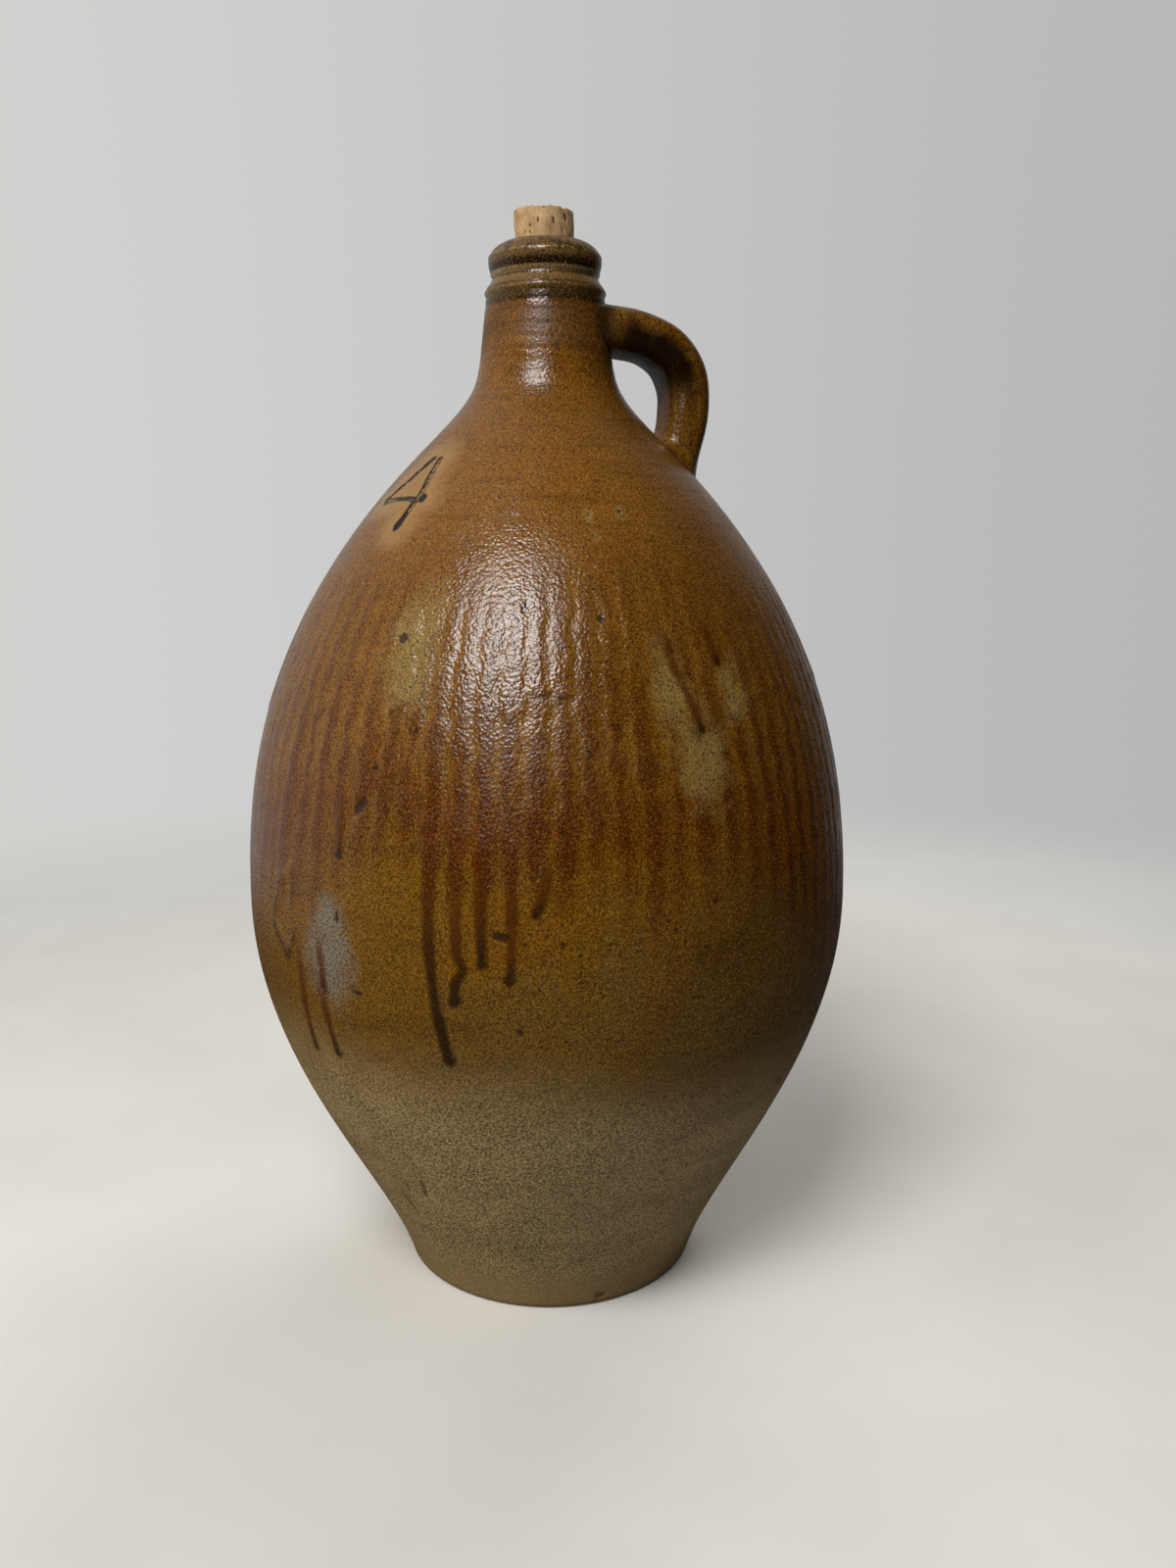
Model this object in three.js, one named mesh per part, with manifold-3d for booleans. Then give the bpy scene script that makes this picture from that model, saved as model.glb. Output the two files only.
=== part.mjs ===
// A large salt-glazed stoneware jug with a strap handle and a cork, in millimetres, +Z up.
// The origin is the centre of the foot's underside. The handle points along +X.
// The jug is put together as a potter does it: a lower and an upper thrown section, a neck thrown on top
// and a pulled strap handle, each joined to its neighbour by a layer of slip. The cork lifts out upwards.
import * as THREE from "three";
import { mergeVertices } from "three/addons/utils/BufferGeometryUtils.js";
import Module from "manifold-3d";

// Foot and floor
const FOOT_RADIUS = 65.5;
const FOOT_FLARE = 4.5; // how much wider the foot is at its top
const FOOT_HEIGHT = 14;
const FOOT_EDGE = 2; // worn edge round the underside
const FLOOR = 13; // thickness of the floor
const FOOT_WALL = 14; // thickness of the wall where it meets the floor

// Body: each height is measured from the one before it
const BELLY_RADIUS = 129.8;
const BELLY_RISE = 156; // from the top of the foot to the widest height
const BELLY_WALL = 8.5;
const WALL_LEAN = 23; // degrees that the wall leans out above the foot
const WALL_PULL = 46; // how far it keeps that lean
const BELLY_PULL_DOWN = 62; // how far the belly stays upright below its widest height
const BELLY_PULL_UP = 66; // and above it
const SHOULDER_RADIUS = 53;
const SHOULDER_RISE = 186; // from the widest height to where the shoulder turns into the neck
const SHOULDER_SLOPE = 45; // degrees from the vertical at that turn
const SHOULDER_PULL_DOWN = 82;
const SHOULDER_PULL_UP = 34;
const SHOULDER_WALL = 8;

// Joints between the thrown sections
const BELLY_JOINT_DROP = 24; // below the widest height
const NECK_JOINT_RISE = 22; // above the shoulder's turn
const SLIP = 1; // thickness of a layer of slip

// Neck, collar and lip
const NECK_RADIUS = 26.6;
const NECK_SWEEP = 46; // from the shoulder's turn to the straight part of the neck
const NECK_PULL = 22;
const NECK_LENGTH = 16.4; // straight part of the neck
const NECK_TAPER = 1.9; // how much narrower the neck is at its top
const COLLAR_PROUD = 0.5;
const COLLAR_BAND = 3.2;
const GROOVE_DEPTH = 2.6;
const GROOVE_RISE = 4.9; // from the collar to the middle of the groove
const LIP_ROLL = 1.5; // how far the lip stands out from the groove
const LIP_RISE = 6; // from the groove to the lip's widest height
const LIP_CROWN = 7.5; // from the lip's widest height to the top of the jug
const MOUTH_EDGE = 1.5; // round between the crown and the bore

// Cork and bore
const CORK_RADIUS = 11.6;
const CORK_LENGTH = 44;
const CORK_PROUD = 12; // length that stands out of the mouth
const CORK_SWELL = 0.6; // how much wider the cork has swollen outside the bore
const CORK_EDGE = 0.7;
const CORK_GAP = 0.3; // clearance all round the cork
const SEAT_BELOW_CORK = 4; // the bore goes on this far below the cork
const BORE_FLARE = 5; // height over which the bore opens into the neck
const NECK_WALL = 10; // wall of the neck below the bore

// Handle
const HANDLE_WIDTH = 34;
const HANDLE_THICKNESS = 19.2;
const HANDLE_SQUARENESS = 3; // 2 gives an oval section, and more gives it flatter faces
const HANDLE_DROP = 12.6; // from the collar down to the strap's middle
const HANDLE_REACH = 58.8; // from the jug's axis to the strap's middle
const HANDLE_TURN = 28; // from the strap's top down to where it runs straight down
const HANDLE_ARCH = 22; // how far the strap runs level out of the neck
const HANDLE_SIDE = 17; // how far it runs upright above its turn
const TAIL_SIDE = 9; // and below it
const TAIL_DROP = 1; // from the shoulder's turn down to the strap's middle at the tail
const TAIL_LEAN = 22; // degrees from the vertical where the tail meets the shoulder
const TAIL_PULL = 8;
const END_DEPTH = 14; // length of strap inside the walls before it is cut to them
const SLIP_BEAD = 1.2; // slip squeezed out round the handle's ends
const CUT_GAP = 0.3; // gap between pieces that are cut to each other

// Fineness of the solids
const ROUND_SIDES = 48;
const WALL_STEPS = 9;
const LIP_STEPS = 4;
const STRAP_STEPS = 24;
const STRAP_SIDES = 20;
const SHORTEST_STEP = 0.3;

const GLAZED_STONEWARE = { color: 0x8a5a2b, roughness: 0.4, metalness: 0 };
const BARE_STONEWARE = { color: 0x83684a, roughness: 0.7, metalness: 0 };
const FIRED_SLIP = { color: 0x6f4d2b, roughness: 0.55, metalness: 0 };
const CORK_BARK = { color: 0xc9a474, roughness: 0.9, metalness: 0 };

const wasm = await Module();
wasm.setup();

// Heights and radii that more than one piece needs
const bellyHeight = FOOT_HEIGHT + BELLY_RISE;
const bellyJoint = bellyHeight - BELLY_JOINT_DROP;
const shoulderHeight = bellyHeight + SHOULDER_RISE;
const neckJoint = shoulderHeight + NECK_JOINT_RISE;
const neckHeight = shoulderHeight + NECK_SWEEP;
const collarFoot = neckHeight + NECK_LENGTH;
const collarTop = collarFoot + COLLAR_BAND;
const grooveHeight = collarTop + GROOVE_RISE;
const lipHeight = grooveHeight + LIP_RISE;
const mouthHeight = lipHeight + LIP_CROWN;
const corkBottom = mouthHeight + CORK_PROUD - CORK_LENGTH;
const boreFoot = corkBottom - SEAT_BELOW_CORK;
const boreRadius = CORK_RADIUS + CORK_GAP;
const neckTopRadius = NECK_RADIUS - NECK_TAPER;

const radians = THREE.MathUtils.degToRad;
const point = (radius, height) => new THREE.Vector2(radius, height);
const along = (from, direction, length) => from.clone().addScaledVector(direction, length);

// The point at one height on a line of points that runs upwards.
function atHeight(line, height) {
  const found = line.findIndex((p, i) => i > 0 && p.y >= height);
  const next = found === -1 ? line.length - 1 : found;
  const [a, b] = [line[next - 1], line[next]];
  return point(THREE.MathUtils.lerp(a.x, b.x, (height - a.y) / (b.y - a.y)), height);
}

// The stretch of such a line between two heights, with a point at each of them.
function between(line, low, high) {
  const inside = line.filter((p) => p.y > low + SHORTEST_STEP && p.y < high - SHORTEST_STEP);
  return [atHeight(line, low), ...inside, atHeight(line, high)];
}

// A line of points moved outwards, square to itself.
function grow(line, distance) {
  return line.map((p, i) => {
    const before = line[Math.max(0, i - 1)];
    const after = line[Math.min(line.length - 1, i + 1)];
    const way = after.clone().sub(before).normalize();
    return point(p.x + way.y * distance, p.y - way.x * distance);
  });
}

// The wall's line from the foot, or from the floor, up to the straight part of the neck.
function wallLine(start, wall) {
  const lean = point(Math.sin(radians(WALL_LEAN)), Math.cos(radians(WALL_LEAN)));
  const up = point(0, 1);
  const slope = point(-Math.sin(radians(SHOULDER_SLOPE)), Math.cos(radians(SHOULDER_SLOPE)));
  const inwards = point(-slope.y, slope.x);
  const neckWay = point(-NECK_TAPER, NECK_LENGTH).normalize();
  const foot = point(FOOT_RADIUS + FOOT_FLARE - wall.foot, start);
  const belly = point(BELLY_RADIUS - wall.belly, bellyHeight);
  const shoulder = along(point(SHOULDER_RADIUS, shoulderHeight), inwards, wall.shoulder);
  const neck = point(NECK_RADIUS - wall.neck, neckHeight);
  const curves = [
    [foot, along(foot, lean, WALL_PULL), along(belly, up, -BELLY_PULL_DOWN), belly],
    [belly, along(belly, up, BELLY_PULL_UP), along(shoulder, slope, -SHOULDER_PULL_DOWN), shoulder],
    [shoulder, along(shoulder, slope, SHOULDER_PULL_UP), along(neck, neckWay, -NECK_PULL), neck],
  ];
  const points = curves.flatMap((four) => new THREE.CubicBezierCurve(...four).getPoints(WALL_STEPS));
  return points.filter((p, i) => i === 0 || p.distanceTo(points[i - 1]) > SHORTEST_STEP);
}

// The outside of the collar, groove, lip and crown, down to the top of the bore.
function lipLine() {
  const grooveRadius = neckTopRadius - GROOVE_DEPTH;
  const lipRadius = grooveRadius + LIP_ROLL;
  const crownEdge = boreRadius + MOUTH_EDGE;
  const collarBulge = neckTopRadius + 2 * COLLAR_PROUD;
  const path = new THREE.Path();
  path.moveTo(neckTopRadius, collarFoot);
  path.quadraticCurveTo(collarBulge, (collarFoot + collarTop) / 2, neckTopRadius, collarTop);
  path.quadraticCurveTo(grooveRadius, (collarTop + grooveHeight) / 2, grooveRadius, grooveHeight);
  path.quadraticCurveTo(lipRadius, (grooveHeight + lipHeight) / 2, lipRadius, lipHeight);
  path.bezierCurveTo(
    lipRadius,
    (lipHeight + mouthHeight) / 2,
    (lipRadius + crownEdge) / 2,
    mouthHeight,
    crownEdge,
    mouthHeight,
  );
  path.quadraticCurveTo(boreRadius, mouthHeight, boreRadius, mouthHeight - MOUTH_EDGE);
  return path.getPoints(LIP_STEPS);
}

const footLine = [point(FOOT_RADIUS - FOOT_EDGE, 0), point(FOOT_RADIUS, FOOT_EDGE)];
const noWall = { foot: 0, belly: 0, shoulder: 0, neck: 0 };
const fullWall = { foot: FOOT_WALL, belly: BELLY_WALL, shoulder: SHOULDER_WALL, neck: NECK_WALL };
const outerWall = [...footLine, ...wallLine(FOOT_HEIGHT, noWall)];
const innerWall = wallLine(FLOOR, fullWall);
const outside = [...outerWall, ...lipLine()];

// A round body from a profile of radius and height that closes on itself or on the axis.
function lathe(profile) {
  return new THREE.LatheGeometry(profile, ROUND_SIDES).rotateX(Math.PI / 2);
}

function ring(outer, inner) {
  const profile = [...outer, ...inner.toReversed()];
  return lathe([...profile, profile[0].clone()]);
}

function mesh(name, geometry, finish) {
  const made = new THREE.Mesh(geometry, new THREE.MeshStandardMaterial(finish));
  made.name = name;
  return made;
}

function toSolid(geometry) {
  const bare = new THREE.BufferGeometry();
  bare.setAttribute("position", geometry.getAttribute("position"));
  bare.setIndex(geometry.index);
  const merged = mergeVertices(bare, 1e-3);
  return new wasm.Manifold(
    new wasm.Mesh({
      numProp: 3,
      vertProperties: merged.getAttribute("position").array,
      triVerts: new Uint32Array(merged.index.array),
    }),
  );
}

function toGeometry(solid) {
  const { vertProperties, triVerts } = solid.getMesh();
  const geometry = new THREE.BufferGeometry();
  geometry.setAttribute("position", new THREE.BufferAttribute(vertProperties, 3));
  geometry.setIndex(new THREE.BufferAttribute(triVerts, 1));
  return geometry;
}

function lowerBody() {
  const outer = between(outerWall, 0, bellyJoint);
  const inner = between(innerWall, FLOOR, bellyJoint);
  return lathe([point(0, 0), ...outer, ...inner.toReversed(), point(0, FLOOR)]);
}

// A stretch of the body's wall: the upper section, or a layer of slip between two sections.
function wallRing(low, high) {
  return ring(between(outerWall, low, high), between(innerWall, low, high));
}

function neckAndLip() {
  const bottom = neckJoint + SLIP;
  const outer = [...between(outerWall, bottom, neckHeight), ...lipLine()];
  const inner = [...between(innerWall, bottom, boreFoot - BORE_FLARE), point(boreRadius, boreFoot)];
  return ring(outer, inner);
}

// The strap's middle line, from inside the neck's wall round to inside the shoulder's wall.
function strapLine() {
  const flat = (radius, height) => new THREE.Vector3(radius, 0, height);
  const topHeight = collarFoot - HANDLE_DROP;
  const turnHeight = topHeight - HANDLE_TURN;
  const neckRadius = atHeight(outside, topHeight).x;
  const tailHeight = shoulderHeight - TAIL_DROP;
  const tail = flat(atHeight(outside, tailHeight).x, tailHeight);
  const tailWay = flat(-Math.sin(radians(TAIL_LEAN)), -Math.cos(radians(TAIL_LEAN)));
  const turn = flat(HANDLE_REACH, turnHeight);
  const line = new THREE.CurvePath();
  line.add(
    new THREE.CubicBezierCurve3(
      flat(neckRadius - END_DEPTH, topHeight),
      flat(neckRadius + HANDLE_ARCH, topHeight),
      flat(HANDLE_REACH, turnHeight + HANDLE_SIDE),
      turn,
    ),
  );
  line.add(
    new THREE.CubicBezierCurve3(
      turn,
      flat(HANDLE_REACH, turnHeight - TAIL_SIDE),
      along(tail, tailWay, -TAIL_PULL),
      along(tail, tailWay, END_DEPTH),
    ),
  );
  return line;
}

// The strap's section, between an oval and a rectangle: across the jug in x, through the strap in y.
function strapSection(extra) {
  const bent = (value) => Math.sign(value) * Math.abs(value) ** (2 / HANDLE_SQUARENESS);
  const points = Array.from({ length: STRAP_SIDES }, (_, i) => {
    const turn = (2 * Math.PI * i) / STRAP_SIDES;
    const across = (HANDLE_WIDTH / 2 + extra) * bent(Math.cos(turn));
    const through = (HANDLE_THICKNESS / 2 + extra) * bent(Math.sin(turn));
    return point(across, through);
  });
  return new THREE.Shape(points);
}

// The strap before its ends are cut to the walls.
function strap(extra) {
  const path = { steps: STRAP_STEPS, extrudePath: strapLine() };
  return toSolid(new THREE.ExtrudeGeometry(strapSection(extra), path));
}

// The jug's whole outside as one round solid, grown by a distance. The handle's ends are cut to it.
function envelope(distance) {
  const skin = grow(outside, distance).filter((p) => p.y < lipHeight);
  const top = skin[skin.length - 1].y;
  return toSolid(lathe([point(0, skin[0].y), ...skin, point(0, top)]));
}

function handle() {
  return toGeometry(strap(0).subtract(envelope(SLIP + 2 * CUT_GAP)));
}

// The pads of slip under the handle's two ends, the upper one first.
function handlePads() {
  const layer = envelope(SLIP + CUT_GAP).subtract(envelope(CUT_GAP));
  const pads = strap(SLIP_BEAD).intersect(layer).decompose();
  const top = (solid) => solid.boundingBox().max[2];
  return pads.sort((a, b) => top(b) - top(a)).map(toGeometry);
}

function cork() {
  const top = corkBottom + CORK_LENGTH;
  const topRadius = CORK_RADIUS + CORK_SWELL;
  return lathe([
    point(0, corkBottom),
    point(CORK_RADIUS - CORK_EDGE, corkBottom),
    point(CORK_RADIUS, corkBottom + CORK_EDGE),
    point(CORK_RADIUS, mouthHeight),
    point(topRadius, top - CORK_EDGE),
    point(topRadius - CORK_EDGE, top),
    point(0, top),
  ]);
}

const [topPad, tailPad] = handlePads();
const jug = new THREE.Group();
jug.add(
  mesh("lower_body", lowerBody(), BARE_STONEWARE),
  mesh("belly_joint_slip", wallRing(bellyJoint, bellyJoint + SLIP), FIRED_SLIP),
  mesh("upper_body", wallRing(bellyJoint + SLIP, neckJoint), GLAZED_STONEWARE),
  mesh("neck_joint_slip", wallRing(neckJoint, neckJoint + SLIP), FIRED_SLIP),
  mesh("neck_and_lip", neckAndLip(), GLAZED_STONEWARE),
  mesh("handle", handle(), GLAZED_STONEWARE),
  mesh("handle_top_slip", topPad, FIRED_SLIP),
  mesh("handle_tail_slip", tailPad, FIRED_SLIP),
  mesh("cork", cork(), CORK_BARK),
);

export default jug;
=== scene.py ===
import math
from types import SimpleNamespace

import bmesh
import bpy
import numpy as np
from mathutils import Euler, Matrix, Vector
from mathutils.geometry import interpolate_bezier


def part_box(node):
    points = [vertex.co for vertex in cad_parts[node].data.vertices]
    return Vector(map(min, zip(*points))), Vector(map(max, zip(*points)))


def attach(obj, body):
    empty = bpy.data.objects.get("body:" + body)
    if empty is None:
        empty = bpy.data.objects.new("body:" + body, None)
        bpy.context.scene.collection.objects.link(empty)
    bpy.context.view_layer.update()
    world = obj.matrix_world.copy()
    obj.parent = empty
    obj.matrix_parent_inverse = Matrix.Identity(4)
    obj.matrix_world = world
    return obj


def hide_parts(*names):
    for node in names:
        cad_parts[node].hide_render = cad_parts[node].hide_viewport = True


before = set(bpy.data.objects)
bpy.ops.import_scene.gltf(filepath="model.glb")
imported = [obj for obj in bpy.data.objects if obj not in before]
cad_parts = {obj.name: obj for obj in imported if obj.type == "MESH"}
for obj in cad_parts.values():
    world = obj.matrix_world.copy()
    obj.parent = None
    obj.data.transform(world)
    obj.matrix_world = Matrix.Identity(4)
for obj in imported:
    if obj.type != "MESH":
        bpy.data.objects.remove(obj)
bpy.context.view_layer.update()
scene = bpy.context.scene
scene.view_settings.view_transform = "Standard"
mm = 0.001

# camera at the photograph's place; the turn is about the jug's axis, away from the plain front
shot = dict(
    distance=0.555, height=0.320, aside=0.0175, turn=-10.0, pitch=10.8,
    focalPixels=1300, imageHeight=1600, sensor=36, nearest=0.01,
)
frontAngle = -90 + shot["turn"]


def placeCamera():
    camera = bpy.data.objects.new("camera", bpy.data.cameras.new("camera"))
    scene.collection.objects.link(camera)
    camera.data.sensor_width = shot["sensor"]
    camera.data.lens = shot["sensor"] * shot["focalPixels"] / shot["imageHeight"]
    camera.data.clip_start = shot["nearest"]
    spin = Matrix.Rotation(math.radians(shot["turn"]), 4, "Z")
    camera.location = spin @ Vector((shot["aside"], -shot["distance"], shot["height"]))
    camera.rotation_euler = Euler((math.radians(90 - shot["pitch"]), 0, math.radians(shot["turn"])))
    scene.camera = camera


placeCamera()
print("camera placed")


# the way out from the axis at a turn to the right of the front and a lift, in degrees
def wayTo(turn, lift):
    angle, rise = math.radians(frontAngle + turn), math.radians(lift)
    return Vector((math.cos(angle) * math.cos(rise), math.sin(angle) * math.cos(rise), math.sin(rise)))


# small helpers for the outlines, in mm
def bend(start, pullOut, pullIn, end, count=40):
    corners = [Vector((p[0], p[1], 0)) for p in (start, pullOut, pullIn, end)]
    return [(p.x, p.y) for p in interpolate_bezier(*corners, count)]


def bow(start, pull, end, count=10):
    out = [start[i] + (pull[i] - start[i]) * 2 / 3 for i in (0, 1)]
    back = [end[i] + (pull[i] - end[i]) * 2 / 3 for i in (0, 1)]
    return bend(start, out, back, end, count)


def along(point, degrees, length):
    angle = math.radians(degrees)
    return (point[0] + math.sin(angle) * length, point[1] + math.cos(angle) * length)


def boxTop(node):
    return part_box(node)[1].z / mm


def boxFoot(node):
    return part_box(node)[0].z / mm


# the thrown wall: radii and heights in mm, those that the solids fix come from the frame
wall = dict(
    footRadius=65.5, footFlare=4.5, footHeight=14, footEdge=2, undersideRings=(0, 18, 38, 54),
    floor=13, floorCove=6, floorCorner=8, thickness=8.3,
    bellyRadius=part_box("upper_body")[1].x / mm, bellyHeight=170,
    lean=23, leanPull=46, bellyPull=62, bellyLift=66,
    shoulderRadius=53, shoulderHeight=356, slope=-45, slopePull=82, slopeLift=34,
    neckRadius=26.6, neckHeight=402, neckPull=22, collarRadius=24.7, collarHeight=418.4, collarBand=3.2,
    grooveRadius=22.1, grooveHeight=426.5, lipRadius=23.6, lipHeight=432.5, crown=5.1,
    mouthEdge=1.5, boreRadius=11.9, boreTop=4, boreFoot=404, boreFlare=5, boreRows=12, neckInside=388,
    sides=546, rowStep=2.1, markRowStep=1.15, neckSides=273, neckRowStep=0.75, jointRow=0.3,
    lowerInnerStep=16, upperInnerStep=22, skinDepth=0.4, boreClear=2, edgeFade=1.5, sharpAngle=62,
)
lipTop = boxTop("neck_and_lip")
bellyJoint = (boxFoot("belly_joint_slip") + boxTop("belly_joint_slip")) / 2
neckJoint = (boxFoot("neck_joint_slip") + boxTop("neck_joint_slip")) / 2


def outerOutline():
    w = wall
    toe = (w["footRadius"] - w["footEdge"], 0)
    foot = (w["footRadius"] + w["footFlare"], w["footHeight"])
    belly = (w["bellyRadius"], w["bellyHeight"])
    belowBelly = (belly[0], belly[1] - w["bellyPull"])
    aboveBelly = (belly[0], belly[1] + w["bellyLift"])
    shoulder = (w["shoulderRadius"], w["shoulderHeight"])
    aboveShoulder = along(shoulder, w["slope"], w["slopeLift"])
    neck = (w["neckRadius"], w["neckHeight"])
    collar = (w["collarRadius"], w["collarHeight"])
    collarTop = (collar[0], collar[1] + w["collarBand"])
    groove = (w["grooveRadius"], w["grooveHeight"])
    lip = (w["lipRadius"], w["lipHeight"])
    crownEdge = (w["boreRadius"] + w["mouthEdge"], lipTop)
    taper = math.degrees(math.atan2(collar[0] - neck[0], collar[1] - neck[1]))
    line = bow(toe, (w["footRadius"], 0), (w["footRadius"], w["footEdge"]), 5)
    line += bend(foot, along(foot, w["lean"], w["leanPull"]), belowBelly, belly)
    line += bend(belly, aboveBelly, along(shoulder, w["slope"], -w["slopePull"]), shoulder)
    line += bend(shoulder, aboveShoulder, along(neck, taper, -w["neckPull"]), neck)
    line += bow(collar, (collar[0] + 1, collar[1] + w["collarBand"] / 2), collarTop)
    line += bow(collarTop, (groove[0], (collarTop[1] + groove[1]) / 2), groove)
    line += bow(groove, (lip[0], (groove[1] + lip[1]) / 2), lip)
    line += bend(lip, (lip[0], (lip[1] + lipTop) / 2), (crownEdge[0] + w["crown"], lipTop), crownEdge)
    kept = [line[0]]
    kept += [p for p, before in zip(line[1:], line) if math.dist(p, before) > 1e-6]
    return np.array(kept)


# how far along a line of points each one lies
def runAlong(line):
    return np.concatenate([[0], np.cumsum(np.hypot(*np.diff(line, axis=0).T))])


outline = outerOutline()
outlineRun = runAlong(outline)
outlineSlope = np.gradient(outline, axis=0)
outlineSlope /= np.hypot(*outlineSlope.T)[:, None]
innerLine = outline + np.stack([-outlineSlope[:, 1], outlineSlope[:, 0]], axis=1) * wall["thickness"]
innerLine = innerLine[np.argsort(innerLine[:, 1])]


def wallRadius(height):
    return np.interp(height, outline[:, 1], outline[:, 0])


def innerRadius(height):
    return float(np.interp(height, innerLine[:, 1], innerLine[:, 0]))


# rows of the outer wall between two heights, evenly spaced along the clay; the top one is left off
def wallRows(low, high, step):
    start, end = np.interp([low, high], outline[:, 1], outlineRun)
    count = max(1, round((end - start) / step))
    stops = np.linspace(start, end, count + 1)[:-1]
    return [tuple(float(np.interp(stop, outlineRun, outline[:, i])) for i in (0, 1)) for stop in stops]


def outerPoint(height):
    return (float(wallRadius(height)), height)


def innerRows(high, low, step):
    count = max(1, round((high - low) / step))
    return [(innerRadius(z), float(z)) for z in np.linspace(high, low, count + 1)]


def toObject(name, bm):
    mesh = bpy.data.meshes.new(name)
    bm.to_mesh(mesh)
    bm.free()
    piece = bpy.data.objects.new(name, mesh)
    scene.collection.objects.link(piece)
    return piece


def spinPiece(name, rows, sides, closed):
    bm = bmesh.new()
    dots = [bm.verts.new((r * mm, 0, z * mm)) for r, z in rows]
    edges = [bm.edges.new(pair) for pair in zip(dots, dots[1:])]
    if closed:
        edges.append(bm.edges.new((dots[-1], dots[0])))
    bmesh.ops.spin(
        bm, geom=dots + edges, cent=(0, 0, 0), axis=(0, 0, 1), angle=math.tau, steps=sides, use_merge=True)
    bmesh.ops.remove_doubles(bm, verts=bm.verts, dist=1e-7)
    bmesh.ops.recalc_face_normals(bm, faces=bm.faces)
    return toObject(name, bm)


def readPoints(mesh):
    points = np.empty(len(mesh.vertices) * 3, dtype=np.float32)
    mesh.vertices.foreach_get("co", points)
    return points.reshape(-1, 3).astype(float) / mm


def writePoints(mesh, points):
    mesh.vertices.foreach_set("co", (points * mm).astype(np.float32).ravel())
    mesh.update()


def writeLooks(mesh, looks):
    for name, values in looks.items():
        layer = mesh.attributes.new(name, "FLOAT", "POINT")
        layer.data.foreach_set("value", np.asarray(values, dtype=np.float32))


def smoothFaces(mesh, sharpAngle):
    mesh.shade_smooth()
    mesh.set_sharp_from_angle(angle=math.radians(sharpAngle))


def ease(value, low, high):
    t = np.clip((value - low) / (high - low), 0, 1)
    return t * t * (3 - 2 * t)


def turnOf(points):
    turn = np.degrees(np.arctan2(points[:, 1], points[:, 0])) - frontAngle
    return (turn + 180) % 360 - 180


# a place on the bare wall, from its turn to the right of the front in degrees and its height
def onWall(turn, height):
    angle = math.radians(turn + frontAngle)
    radius = float(wallRadius(height))
    return np.array([math.cos(angle) * radius, math.sin(angle) * radius, height])


# distance in mm from each point to a track drawn on the wall; points out of its reach keep the far one
def trackGap(points, track, reach=16, far=99.0):
    gap = np.full(len(points), far)
    spots = np.array([onWall(*spot) for spot in track])
    near = np.all((points > spots.min(axis=0) - reach) & (points < spots.max(axis=0) + reach), axis=1)
    close = points[near]
    nearest = np.full(len(close), far)
    for start, end in zip(spots, spots[1:] if len(spots) > 1 else spots):
        way = end - start
        t = np.clip((close - start) @ way / max(way @ way, 1e-9), 0, 1)
        nearest = np.minimum(nearest, np.linalg.norm(close - start - t[:, None] * way, axis=1))
    gap[near] = nearest
    return gap


# glaze runs: upright beads side by side, with a row of rounded ends half way down the belly
runs = dict(
    count=78, firstTurn=-4.1, proud=0.62, valley=0.42, flatness=6.0, fingerRound=2.6, top=315, topFade=24,
    lobeHeight=256, lobeBand=14, lobeRise=7, lobeSpread=12, lobeShare=0.55, lobeProud=0.30, lobeFade=16,
    coatRise=20, fingerDrop=16, coatFade=(-26, 8), seed=7,
    waver=[  # share of a run's width, mm up the wall, and the twist and waves round it
        (0.10, 15, 4, 7), (0.07, 2.3, 9, 9), (0.05, 4.1, 7, 11),
    ],
    coatEdge=[  # turn and height of the coat's lower edge
        (-180, 196), (-130, 204), (-95, 186), (-70, 188), (-50, 194), (-40, 204), (-30, 214), (-23, 212),
        (-19, 202), (-10, 198), (3, 201), (12, 206), (35, 202), (46, 181), (60, 161), (78, 150),
        (115, 194), (150, 190), (180, 196),
    ],
)
runDice = np.random.default_rng(runs["seed"])
runPush = runDice.uniform(0.5, 1.0, runs["count"])
runLobe = runDice.uniform(-runs["lobeSpread"], runs["lobeSpread"], runs["count"])
runCurl = runDice.random(runs["count"]) < runs["lobeShare"]
runFinger = runDice.uniform(0.1, 1.0, runs["count"]) ** 2 * runs["fingerDrop"]


def coatEdgeAt(turn):
    return np.interp(turn, *np.array(runs["coatEdge"]).T)


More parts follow.
